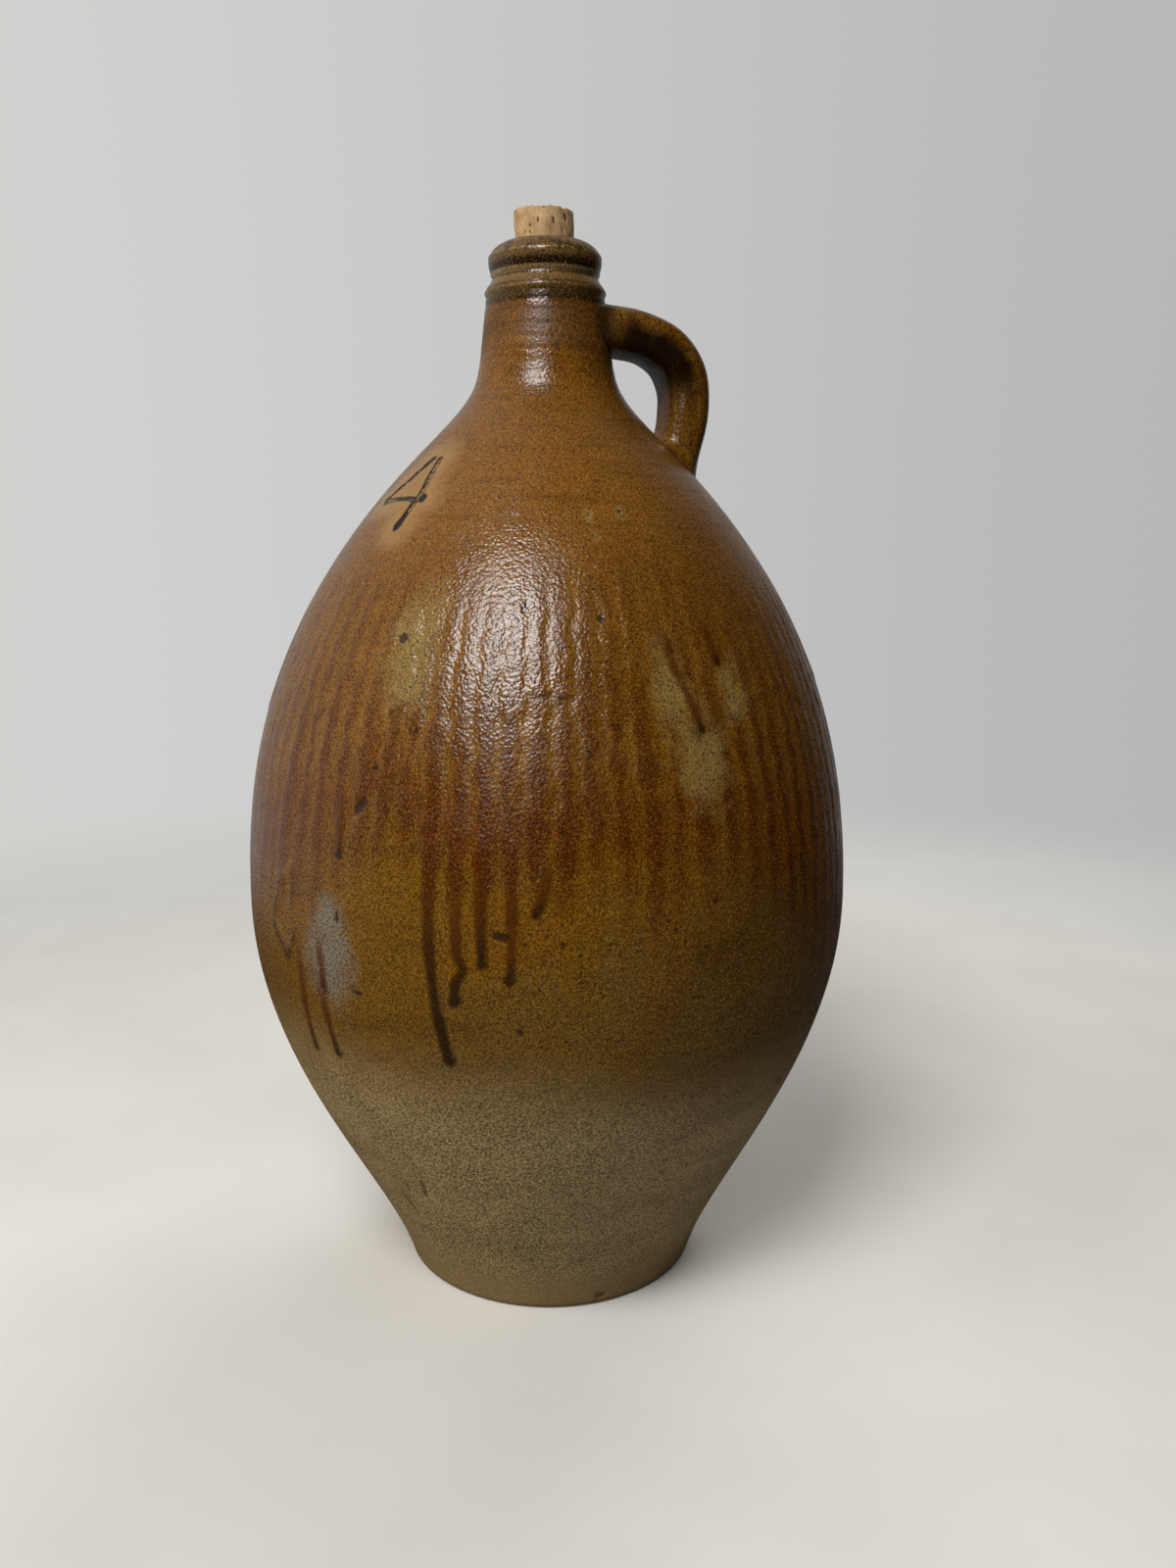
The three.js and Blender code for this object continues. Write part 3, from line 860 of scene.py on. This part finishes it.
# the orange-peel skin that salt leaves: domes for the bump and a mottle for the colour
def makePeel():
    inputs = [("Vector", vectorSocket), ("Cells", floatSocket)]
    group, given, out = newGroup("saltPeel", inputs, ["Height", "Mottle"])
    scales = {"Vector": given["Vector"], "Scale": given["Cells"], "Smoothness": 0.5}
    rough = noise(group, given["Vector"], times(group, given["Cells"], 1.35), 1.5, 0.5)
    pits = times(group, cells(group, scales, "SMOOTH_F1"), 0.9)
    domes = minus(group, times(group, rough, 0.8), pits)
    join(group, out["Height"], plus(group, domes, 0.5))
    join(group, out["Mottle"], fade(group, rough, 0.33, 0.67))
    return group


# iron specks from the clay, small ones everywhere and a few larger
def makeSpeckle():
    inputs = [("Vector", vectorSocket), ("Scale", floatSocket), ("Share", floatSocket)]
    group, given, out = newGroup("ironSpecks", inputs, ["Mask"])
    fine = noise(group, given["Vector"], given["Scale"], 1, 0.4)
    coarse = noise(group, given["Vector"], times(group, given["Scale"], 0.42), 1, 0.4)
    cut = minus(group, 0.82, times(group, given["Share"], 0.3))
    small = fade(group, fine, minus(group, cut, 0.06), plus(group, cut, 0.05))
    large = fade(group, coarse, plus(group, cut, 0.11), plus(group, cut, 0.15))
    join(group, out["Mask"], calc(group, "MAXIMUM", small, large))
    return group


# upright streaks where glaze has run
def makeStreaks():
    inputs = [("Vector", vectorSocket), ("Width", floatSocket)]
    group, given, out = newGroup("glazeStreaks", inputs, ["Mask"])
    broad = noise(group, stretched(group, given["Vector"], (1, 1, 0.07)), given["Width"], 2, 0.5)
    thinner = times(group, given["Width"], 3.1)
    fine = noise(group, stretched(group, given["Vector"], (1, 1, 0.16)), thinner, 2, 0.5)
    both = plus(group, times(group, broad, 0.62), times(group, fine, 0.38))
    join(group, out["Mask"], fade(group, both, 0.32, 0.68))
    return group


peelGroup, speckleGroup, streakGroup = makePeel(), makeSpeckle(), makeStreaks()

# colours of the fired wall, linear; the coat's run with height in mm from the belly up to the mouth, whose
# top stops paint the shade and highlights of the collar and lip rings
fired = dict(
    clayPale=(0.40, 0.275, 0.112), clayDark=(0.140, 0.093, 0.033), clayFoot=(0.22, 0.140, 0.048),
    olive=(0.145, 0.076, 0.008), amber=(0.152, 0.064, 0.002), oliveDark=(0.065, 0.033, 0.004),
    pooled=(0.075, 0.018, 0.0012), valley=(0.215, 0.096, 0.008), valleyLow=(0.190, 0.060, 0.0015),
    dripTop=(0.075, 0.021, 0.0015), dripEnd=(0.016, 0.006, 0.0015), lobeLine=(0.050, 0.018, 0.004),
    greyBloom=(0.17, 0.150, 0.115), ashBloom=(0.27, 0.185, 0.055), speck=(0.018, 0.008, 0.002),
    pit=(0.026, 0.010, 0.003), figure=(0.005, 0.003, 0.0015), halo=(0.34, 0.190, 0.065),
    inside=(0.11, 0.055, 0.020), glint=(0.40, 0.185, 0.030), gold=(0.184, 0.072, 0.001),
    crownVein=(0.030, 0.016, 0.006), glazeFoot=106, glazeFull=159, glazeTilt=14,
    peelCells=760.0, streakWidth=75.0, speckScale=1300.0, speckShare=0.62, webScale=560.0, bumpDepth=0.0003,
    # from 413.5 mm up: dark lines in the ring grooves and dark undersides of collar and lip are painted
    # shade, pale lines on the ring ridges are painted highlights
    coat=[
        (185, (0.116, 0.028, 0.001)), (215, (0.137, 0.036, 0.001)), (240, (0.146, 0.047, 0.002)),
        (262, (0.160, 0.056, 0.003)), (300, (0.195, 0.077, 0.008)), (335, (0.225, 0.093, 0.012)),
        (372, (0.200, 0.081, 0.010)), (392, (0.212, 0.083, 0.007)), (413.5, (0.135, 0.053, 0.005)),
        (414.7, (0.024, 0.012, 0.002)), (415.8, (0.042, 0.022, 0.003)), (418.6, (0.080, 0.042, 0.008)),
        (419.6, (0.210, 0.128, 0.038)), (420.6, (0.160, 0.095, 0.028)), (421.2, (0.026, 0.014, 0.004)),
        (421.9, (0.180, 0.108, 0.034)), (424.4, (0.210, 0.128, 0.042)), (425.1, (0.030, 0.017, 0.005)),
        (425.8, (0.040, 0.023, 0.007)), (426.3, (0.320, 0.215, 0.090)), (427.2, (0.320, 0.215, 0.090)),
        (427.8, (0.009, 0.005, 0.002)), (430.0, (0.013, 0.007, 0.002)), (431.4, (0.110, 0.062, 0.018)),
        (433.2, (0.150, 0.088, 0.028)), (433.9, (0.270, 0.175, 0.068)), (434.6, (0.140, 0.082, 0.026)),
        (440, (0.180, 0.110, 0.042)),
    ],
)


# what several layers of the wall share: height in mm, noises, and where the glaze and drips lie
def wallMasks(tree, place):
    f = fired
    height = addNode(tree, "ShaderNodeSeparateXYZ", {0: place}).outputs["Z"]
    masks = SimpleNamespace(
        level=times(tree, height, 1 / mm), rightward=look(tree, "rightward"),
        patch=noise(tree, place, 22, 3, 0.55), fog=noise(tree, place, 60, 3, 0.6),
        grit=noise(tree, place, 1250, 2, 0.55), grain=noise(tree, place, 1500, 1.5, 0.55),
        streak=useGroup(tree, streakGroup, {"Vector": place, "Width": f["streakWidth"]})["Mask"],
        edge=times(tree, minus(tree, noise(tree, place, 210, 3, 0.6), 0.5), 6.0),
        cloud=times(tree, minus(tree, noise(tree, place, 115, 4, 0.65), 0.5), 1.7),
    )
    masks.pepper = fade(tree, masks.grain, 0.55, 0.32, 0, 0.9)
    masks.aside = jitter(tree, masks.rightward, minus(tree, masks.patch, 0.5), 0.6)
    masks.coatDrop = plus(tree, look(tree, "coatDrop"), masks.edge)
    rise = plus(tree, masks.level, jitter(tree, masks.edge, masks.patch, 16))
    rise = plus(tree, rise, fade(tree, masks.rightward, -0.75, 0.9, 0, f["glazeTilt"]))
    masks.glazed = fade(tree, rise, f["glazeFoot"], f["glazeFull"])
    dripEdge = jitter(tree, look(tree, "dripEdge"), masks.edge, 0.22)
    dripShown = fade(tree, look(tree, "dripTone"), -0.05, 0.55, 0.0, 0.9)
    masks.drip = times(tree, fade(tree, dripEdge, -1.2, 1.1), dripShown)
    return masks


# bare clay at the bottom: pale grains in a darker web
def clayColour(tree, place, masks):
    f = fired
    clay = paint(tree, fade(tree, masks.grit, 0.40, 0.57), f["clayDark"], f["clayPale"])
    web = cells(tree, {"Vector": place, "Scale": f["webScale"]}, "DISTANCE_TO_EDGE")
    web = times(tree, fade(tree, web, 0.16, 0.02), fade(tree, masks.fog, 0.35, 0.6, 0.25, 0.8))
    clay = darker(tree, web, clay, (0.55, 0.52, 0.48))
    band = noise(tree, stretched(tree, place, (0.25, 0.25, 1.0)), 55, 3, 0.5)
    clay = darker(tree, fade(tree, band, 0.45, 0.75, 0, 0.5), clay, (0.74, 0.70, 0.64))
    footTint = times(tree, fade(tree, plus(tree, masks.level, masks.edge), 30, 6), 0.75)
    return paint(tree, footTint, clay, f["clayFoot"])


# thin glaze above it, olive to amber, darker to the right as partly a darker glaze and partly painted shade,
# with a golden band under the coat
def thinColour(tree, place, masks):
    f = fired
    aside = masks.aside
    leftward = fade(tree, aside, 0.2, -0.5, 0, 0.7)
    ambered = calc(tree, "MAXIMUM", fade(tree, masks.patch, 0.48, 0.68), leftward)
    thin = paint(tree, ambered, f["olive"], f["amber"])
    drift = noise(tree, stretched(tree, place, (0.4, 0.4, 1.6)), 55, 4, 0.6)
    thin = paint(tree, fade(tree, drift, 0.50, 0.74, 0, 0.55), thin, f["oliveDark"])
    # darker on the right: partly a darker glaze, partly painted shade of the side away from the lamps
    thin = darker(tree, fade(tree, aside, 0.10, 0.75), thin, (0.66, 0.62, 0.54))
    goldBand = times(tree, fade(tree, masks.coatDrop, -42, -18), fade(tree, aside, 0.75, 0.35, 0, 0.65))
    goldBand = times(tree, goldBand, fade(tree, aside, -0.4, 0.0, 0.3, 1.0))
    return paint(tree, goldBand, thin, f["gold"])


# the brown coat of the upper half with its runs and the dark lines round their ends
def coatColour(tree, place, masks):
    f = fired
    level = masks.level
    lowest = f["coat"][0][0]
    spread = calc(tree, "DIVIDE", minus(tree, level, lowest), lipTop - lowest)
    # the ramp's top stops hold painted shade and painted highlights on the collar and lip rings
    coat = rampOf(tree, spread, [((h - lowest) / (lipTop - lowest), colour) for h, colour in f["coat"]])
    runMask = times(tree, look(tree, "runMask"), fade(tree, level, 238, 272, 1.0, 0.6))
    runEdge = jitter(tree, look(tree, "runEdge"), masks.edge, 0.09)
    gutter = times(tree, runMask, fade(tree, runEdge, 0.30, 0.75, 0, 0.85))
    coat = paint(tree, gutter, coat, paint(tree, fade(tree, level, 250, 212), f["valley"], f["valleyLow"]))
    crown = times(tree, runMask, fade(tree, runEdge, 0.50, 0.10, 0, 0.75))
    coat = darker(tree, crown, coat, (0.66, 0.56, 0.48))
    streakShare = plus(tree, fade(tree, level, 300, 345, 0.5, 0.2), fade(tree, level, 366, 392, 0, 0.35))
    streaked = times(tree, minus(tree, 1.0, masks.streak), streakShare)
    coat = darker(tree, streaked, coat, (0.52, 0.42, 0.38))
    rings = noise(tree, stretched(tree, place, (0.06, 0.06, 1.0)), 330, 3, 0.6)
    rings = times(tree, fade(tree, rings, 0.52, 0.68), fade(tree, level, 290, 340, 0, 0.45))
    coat = darker(tree, rings, coat, (0.55, 0.50, 0.45))
    onNeck = times(tree, fade(tree, level, 372, 390), fade(tree, level, 414, 410))
    onNeck = times(tree, onNeck, fade(tree, masks.fog, 0.48, 0.62, 0, 0.5))
    coat = paint(tree, onNeck, coat, f["oliveDark"])
    pooled = times(tree, fade(tree, masks.coatDrop, 36, 4), fade(tree, masks.streak, 0.1, 0.8, 0.3, 0.85))
    pooled = times(tree, pooled, fade(tree, masks.aside, 0.15, 0.45, 1.0, 0.4))
    coat = paint(tree, pooled, coat, f["pooled"])
    lobeDrop = jitter(tree, look(tree, "lobeDrop"), masks.edge, 0.35)
    lobeLine = times(tree, fade(tree, lobeDrop, -1.7, 0.0), fade(tree, lobeDrop, 2.3, 0.5))
    lobeLine = times(tree, lobeLine, look(tree, "lobeCurl"))
    lobeLine = times(tree, lobeLine, fade(tree, masks.fog, 0.34, 0.56, 0.1, 0.9))
    coat = paint(tree, lobeLine, coat, f["lobeLine"])
    # darker towards the right: partly a darker glaze, partly painted shade of the side away from the lamps
    return darker(tree, fade(tree, masks.aside, 0.35, 0.95), coat, (0.74, 0.72, 0.66))


def glazeColour(tree, place, masks):
    f = fired
    fromDrips = calc(tree, "ABSOLUTE", plus(tree, masks.rightward, 0.14))
    softness = fade(tree, fromDrips, 0.15, 0.45, 13.0, 27.0)
    coated = fade(tree, masks.coatDrop, times(tree, softness, -1.0), softness)
    glaze = paint(tree, coated, thinColour(tree, place, masks), coatColour(tree, place, masks))

    # pale blooms and the scar
    grey = fade(tree, jitter(tree, look(tree, "greyBloom"), masks.cloud, 0.55), -0.02, 0.85, 0, 0.9)
    glaze = paint(tree, grey, glaze, f["greyBloom"])
    ash = fade(tree, plus(tree, look(tree, "ashBloom"), masks.cloud), 0.0, 0.85, 0, 0.75)
    glaze = paint(tree, ash, glaze, f["ashBloom"])
    scarLine = fade(tree, jitter(tree, look(tree, "scarGap"), masks.edge, 0.45), 2.0, 0.4, 0, 0.9)
    glaze = paint(tree, times(tree, scarLine, fade(tree, masks.fog, 0.38, 0.56)), glaze, f["lobeLine"])

    # mottle and specks through the glaze, and the crazed dark veins on the crown of the lip
    glaze = darker(tree, masks.pepper, glaze, (0.38, 0.34, 0.29))
    glaze = paint(tree, fade(tree, masks.grain, 0.52, 0.72, 0, 0.36), glaze, f["glint"])
    scales = {"Vector": place, "Scale": f["speckScale"], "Share": f["speckShare"]}
    specks = times(tree, useGroup(tree, speckleGroup, scales)["Mask"], 0.7)
    glaze = paint(tree, specks, glaze, f["speck"])
    vein = fade(tree, noise(tree, place, 330, 4, 0.7), 0.50, 0.42, 0, 0.85)
    return paint(tree, times(tree, fade(tree, masks.level, 432.2, 433.4), vein), glaze, f["crownVein"])


# the drips, the figure with a pale halo in the glaze round it, and the flaws
def addMarks(tree, place, masks, colour):
    f = fired
    dripColour = paint(tree, look(tree, "dripDark"), f["dripTop"], f["dripEnd"])
    dripColour = darker(tree, masks.pepper, dripColour, (0.55, 0.5, 0.5))
    colour = paint(tree, masks.drip, colour, dripColour)
    figureEdge = look(tree, "figureEdge")
    halo = fade(tree, jitter(tree, figureEdge, masks.cloud, 6), -13, -1.0, 0, 0.6)
    colour = paint(tree, halo, colour, f["halo"])
    ink = fade(tree, jitter(tree, figureEdge, masks.edge, 0.25), -0.35, 0.25)
    hatch = fade(tree, noise(tree, place, 620, 2, 0.6), 0.42, 0.56, 0, 0.75)
    hatch = times(tree, hatch, fade(tree, figureEdge, 0.25, 0.9))
    hatch = times(tree, hatch, fade(tree, look(tree, "figureSolid"), 0.0, -1.0))
    colour = paint(tree, times(tree, ink, minus(tree, 1.0, hatch)), colour, f["figure"])
    flawEdge = jitter(tree, look(tree, "flawEdge"), masks.edge, 0.15)
    flawMask = fade(tree, flawEdge, -0.1, 0.7, 0, 0.9)
    flawMask = times(tree, flawMask, fade(tree, masks.glazed, 0, 1, 0.6, 1.0))
    return paint(tree, flawMask, colour, f["pit"])


# wet glaze, brushed a little duller round the neck, and dull clay
def wallRoughness(tree, masks):
    gloss = minus(tree, fade(tree, masks.fog, 0.3, 0.7, 0.18, 0.30), times(tree, masks.drip, 0.05))
    brushed = times(tree, fade(tree, masks.level, 394, 400), fade(tree, masks.level, 413.6, 410, 0, 0.16))
    gloss = plus(tree, gloss, brushed)
    dull = times(tree, minus(tree, 1.0, masks.glazed), minus(tree, 1.0, masks.drip))
    return jitter(tree, times(tree, gloss, minus(tree, 1.0, dull)), dull, 0.6)


# peel and lumps in the glaze, and grit in the bare clay
def wallSkin(tree, place, masks):
    peel = useGroup(tree, peelGroup, {"Vector": place, "Cells": fired["peelCells"]})["Height"]
    skin = plus(tree, times(tree, peel, 0.66), times(tree, noise(tree, place, 190, 2, 0.5), 0.5))
    skin = times(tree, skin, fade(tree, masks.level, 305, 350, 1.0, 0.65))
    return jitter(tree, skin, masks.grit, times(tree, minus(tree, 1.0, masks.glazed), 0.8))


def makeStoneware():
    material, tree, shader, place = newMaterial("saltGlazedStoneware")
    masks = wallMasks(tree, place)
    colour = paint(tree, masks.glazed, clayColour(tree, place, masks), glazeColour(tree, place, masks))
    colour = addMarks(tree, place, masks, colour)
    colour = paint(tree, look(tree, "inside"), colour, fired["inside"])
    join(tree, shader.inputs["Base Color"], colour)
    join(tree, shader.inputs["Roughness"], wallRoughness(tree, masks))
    addBump(tree, shader, wallSkin(tree, place, masks), 1.0, fired["bumpDepth"])
    return material


# the handle wears the neck's olive-brown glaze, pooled dark inside its bend with painted shade there too, and
# painted shade in the creases at both ends
handleFinish = dict(
    base=(0.148, 0.060, 0.004), pale=(0.205, 0.096, 0.010), dark=(0.004, 0.0015, 0.0005),
    red=(0.065, 0.018, 0.002), speck=(0.018, 0.009, 0.004), creaseShade=(0.010, 0.005, 0.002),
    peelCells=680.0, streakWidth=130.0, speckScale=1100.0, speckShare=0.66, bumpDepth=0.0002,
)


def makeHandleGlaze():
    h = handleFinish
    material, tree, shader, place = newMaterial("handleGlaze")
    peel = useGroup(tree, peelGroup, {"Vector": place, "Cells": h["peelCells"]})
    streak = useGroup(tree, streakGroup, {"Vector": place, "Width": h["streakWidth"]})["Mask"]
    scales = {"Vector": place, "Scale": h["speckScale"], "Share": h["speckShare"]}
    specks = useGroup(tree, speckleGroup, scales)["Mask"]
    fog = noise(tree, place, 75, 3, 0.6)
    share, outer, side = look(tree, "share"), look(tree, "outer"), look(tree, "side")
    colour = paint(tree, fade(tree, fog, 0.46, 0.66), h["base"], h["pale"])
    colour = paint(tree, times(tree, minus(tree, 1.0, streak), 0.6), colour, h["red"])
    # inside the bend, near black: partly glaze pooled dark, partly painted shade of the bend
    bendZone = times(tree, fade(tree, share, 0.03, 0.14), fade(tree, share, 0.78, 0.5))
    poolAndShade = times(tree, bendZone, fade(tree, jitter(tree, outer, fog, 0.6), 0.88, 0.22))
    colour = paint(tree, times(tree, poolAndShade, 0.96), colour, h["dark"])
    reddened = times(tree, fade(tree, outer, 0.5, 0.95), fade(tree, share, 0.40, 0.7, 0, 0.7))
    colour = paint(tree, reddened, colour, h["red"])
    colour = paint(tree, times(tree, fade(tree, peel["Mottle"], 0.55, 0.0), 0.5), colour, h["dark"])
    colour = paint(tree, times(tree, specks, 0.8), colour, h["speck"])
    # painted shade in the creases where the strap meets the neck and the shoulder
    endShade = calc(tree, "MAXIMUM", fade(tree, share, 0.10, 0.03), fade(tree, share, 0.955, 0.99))
    colour = paint(tree, times(tree, endShade, 0.8), colour, h["creaseShade"])
    join(tree, shader.inputs["Base Color"], colour)
    sideShine = times(tree, calc(tree, "ABSOLUTE", side), 0.04)
    roughness = minus(tree, fade(tree, fog, 0.3, 0.7, 0.18, 0.30), sideShine)
    roughness = plus(tree, roughness, fade(tree, outer, -0.80, -0.98, 0, 0.32))
    join(tree, shader.inputs["Roughness"], roughness)
    skin = plus(tree, times(tree, peel["Height"], 0.7), noise(tree, place, 190, 2, 0.5))
    addBump(tree, shader, skin, 1.0, h["bumpDepth"])
    return material


corkFinish = dict(
    pale=(0.50, 0.33, 0.165), tan=(0.36, 0.215, 0.090), pore=(0.055, 0.026, 0.011), line=(0.20, 0.105, 0.040),
    bumpStrength=0.8, bumpDepth=0.0003,
)


def makeCorkBark():
    c = corkFinish
    material, tree, shader, place = newMaterial("corkBark")
    cloud = noise(tree, place, 190, 3, 0.6)
    growth = noise(tree, stretched(tree, place, (1, 1, 0.12)), 420, 2, 0.6)
    fleck = noise(tree, place, 1100, 2, 0.5)
    colour = paint(tree, fade(tree, cloud, 0.35, 0.65), c["tan"], c["pale"])
    colour = paint(tree, fade(tree, growth, 0.56, 0.74, 0, 0.6), colour, c["line"])
    colour = paint(tree, fade(tree, fleck, 0.62, 0.72, 0, 0.55), colour, c["line"])
    pore = fade(tree, jitter(tree, look(tree, "poreEdge"), minus(tree, cloud, 0.5), 0.6), -0.05, 0.2)
    colour = paint(tree, times(tree, pore, 0.85), colour, c["pore"])
    colour = paint(tree, fade(tree, look(tree, "rimWear"), 0.15, 0.8, 0, 0.45), colour, c["line"])
    join(tree, shader.inputs["Base Color"], colour)
    join(tree, shader.inputs["Roughness"], fade(tree, cloud, 0.3, 0.7, 0.72, 0.88))
    skin = plus(tree, times(tree, growth, 0.6), times(tree, fleck, 0.5))
    addBump(tree, shader, skin, c["bumpStrength"], c["bumpDepth"])
    return material


stoneware = makeStoneware()
for piece in wallPieces:
    piece.data.materials.append(stoneware)
strapHandle.data.materials.append(makeHandleGlaze())
corkStopper.data.materials.append(makeCorkBark())
print("finishes made")

# a pale floor that thins out into the backdrop, lamps at the front left, soft fills at the left and behind
studio = dict(
    floorRadius=1.5, floorSides=128, floorGap=0.0003, floorColour=(0.76, 0.735, 0.68), floorDim=0.95,
    floorBounce=0.74, floorMirror=0.045, floorSolid=0.45, floorGone=1.1, aim=0.24,
    lamps=[  # name, turn and lift in degrees, distance, width and height in m, power, shows in the glaze
        ("keyLamp", -21, 48, 1.5, 0.60, 0.56, 18.0, True),
        ("lowLamp", -16, 27, 1.5, 0.60, 0.50, 1.5, True),
        ("leftFill", -70, 12, 1.5, 1.00, 0.80, 9.6, False),
        ("rearFill", 155, 32, 1.5, 1.20, 1.00, 12.0, False),
    ],
    skyLight=0.10, skyColour=(0.97, 0.98, 1.0), paleLeft=(0.645, 0.645, 0.63), paleRight=(0.47, 0.475, 0.475),
    dimRoom=(0.014, 0.009, 0.002), paleTurn=-145, paleLift=12, paleMirror=0.6,
)


def makeFloor():
    s = studio
    bm = bmesh.new()
    bmesh.ops.create_circle(bm, cap_ends=True, segments=s["floorSides"], radius=s["floorRadius"])
    bmesh.ops.translate(bm, vec=(0, 0, -s["floorGap"]), verts=bm.verts)
    floor = toObject("paleFloor", bm)
    material, tree, shader, place = newMaterial("paleFloor")
    cloud = fade(tree, noise(tree, place, 9, 3, 0.5), 0.3, 0.7)
    colour = paint(tree, cloud, tuple(c * s["floorDim"] for c in s["floorColour"]), s["floorColour"])
    rays = addNode(tree, "ShaderNodeLightPath").outputs
    level = times(tree, rays["Is Glossy Ray"], s["floorMirror"] - s["floorBounce"])
    level = calc(tree, "MAXIMUM", plus(tree, level, s["floorBounce"]), rays["Is Camera Ray"])
    join(tree, shader.inputs["Base Color"], scaled(tree, colour, level))
    join(tree, shader.inputs["Roughness"], 0.9)
    join(tree, shader.inputs["Specular IOR Level"], 0.1)
    reach = addNode(tree, "ShaderNodeVectorMath", {0: place}, operation="LENGTH").outputs["Value"]
    join(tree, shader.inputs["Alpha"], fade(tree, reach, s["floorSolid"], s["floorGone"], 1, 0))
    floor.data.materials.append(material)


def addLamp(name, turn, lift, distance, width, height, power, mirrored):
    data = bpy.data.lights.new(name, "AREA")
    data.shape = "RECTANGLE"
    data.size, data.size_y = width, height
    data.energy = power
    lamp = bpy.data.objects.new(name, data)
    scene.collection.objects.link(lamp)
    way = wayTo(turn, lift)
    lamp.location = Vector((0, 0, studio["aim"])) + way * distance
    lamp.rotation_euler = way.to_track_quat("Z", "Y").to_euler()
    lamp.visible_glossy = mirrored


# the room as the camera and the glaze see it, and a weak even light for all else
def makeWorld():
    s = studio
    world = bpy.data.worlds.new("paleRoom")
    scene.world = world
    world.use_nodes = True
    tree = world.node_tree
    tree.nodes.clear()
    sight = addNode(tree, "ShaderNodeTexCoord").outputs["Generated"]
    aside, behind = [
        addNode(tree, "ShaderNodeVectorMath", {0: sight, 1: way}, operation="DOT_PRODUCT").outputs["Value"]
        for way in (wayTo(90, 0), wayTo(s["paleTurn"], s["paleLift"]))
    ]
    pale = paint(tree, fade(tree, aside, -0.5, 0.5), s["paleLeft"], s["paleRight"])
    mirrored = paint(tree, fade(tree, behind, 0.0, 0.6), s["dimRoom"], scaled(tree, pale, s["paleMirror"]))
    rays = addNode(tree, "ShaderNodeLightPath").outputs
    shown = paint(tree, rays["Is Glossy Ray"], pale, mirrored)
    bounced = plus(tree, rays["Is Glossy Ray"], rays["Is Transmission Ray"])
    seen = calc(tree, "ADD", rays["Is Camera Ray"], bounced, True)
    skyInputs = {"Color": s["skyColour"], "Strength": s["skyLight"]}
    sky = addNode(tree, "ShaderNodeBackground", skyInputs).outputs[0]
    backdrop = addNode(tree, "ShaderNodeBackground", {"Color": shown, "Strength": 1.0}).outputs[0]
    mixed = addNode(tree, "ShaderNodeMixShader", {0: seen, 1: sky, 2: backdrop}).outputs[0]
    tree.links.new(mixed, tree.nodes.new("ShaderNodeOutputWorld").inputs["Surface"])


makeFloor()
for lamp in studio["lamps"]:
    addLamp(*lamp)
makeWorld()
print("studio lit")

# what each piece stands for, moves with and is made of; the made-of slot is listed but not applied
for piece, body, slot, nodes in (
    (lowerBody, "jug", "bare_stoneware", ("lower_body", "belly_joint_slip")),
    (upperBody, "jug", "glazed_stoneware", ("upper_body",)),
    (neckAndLip, "jug", "glazed_stoneware", ("neck_and_lip", "neck_joint_slip")),
    (strapHandle, "jug", "glazed_stoneware", ("handle", "handle_top_slip", "handle_tail_slip")),
    (corkStopper, "cork", "cork_bark", ("cork",)),
):
    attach(piece, body)
    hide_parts(*nodes)
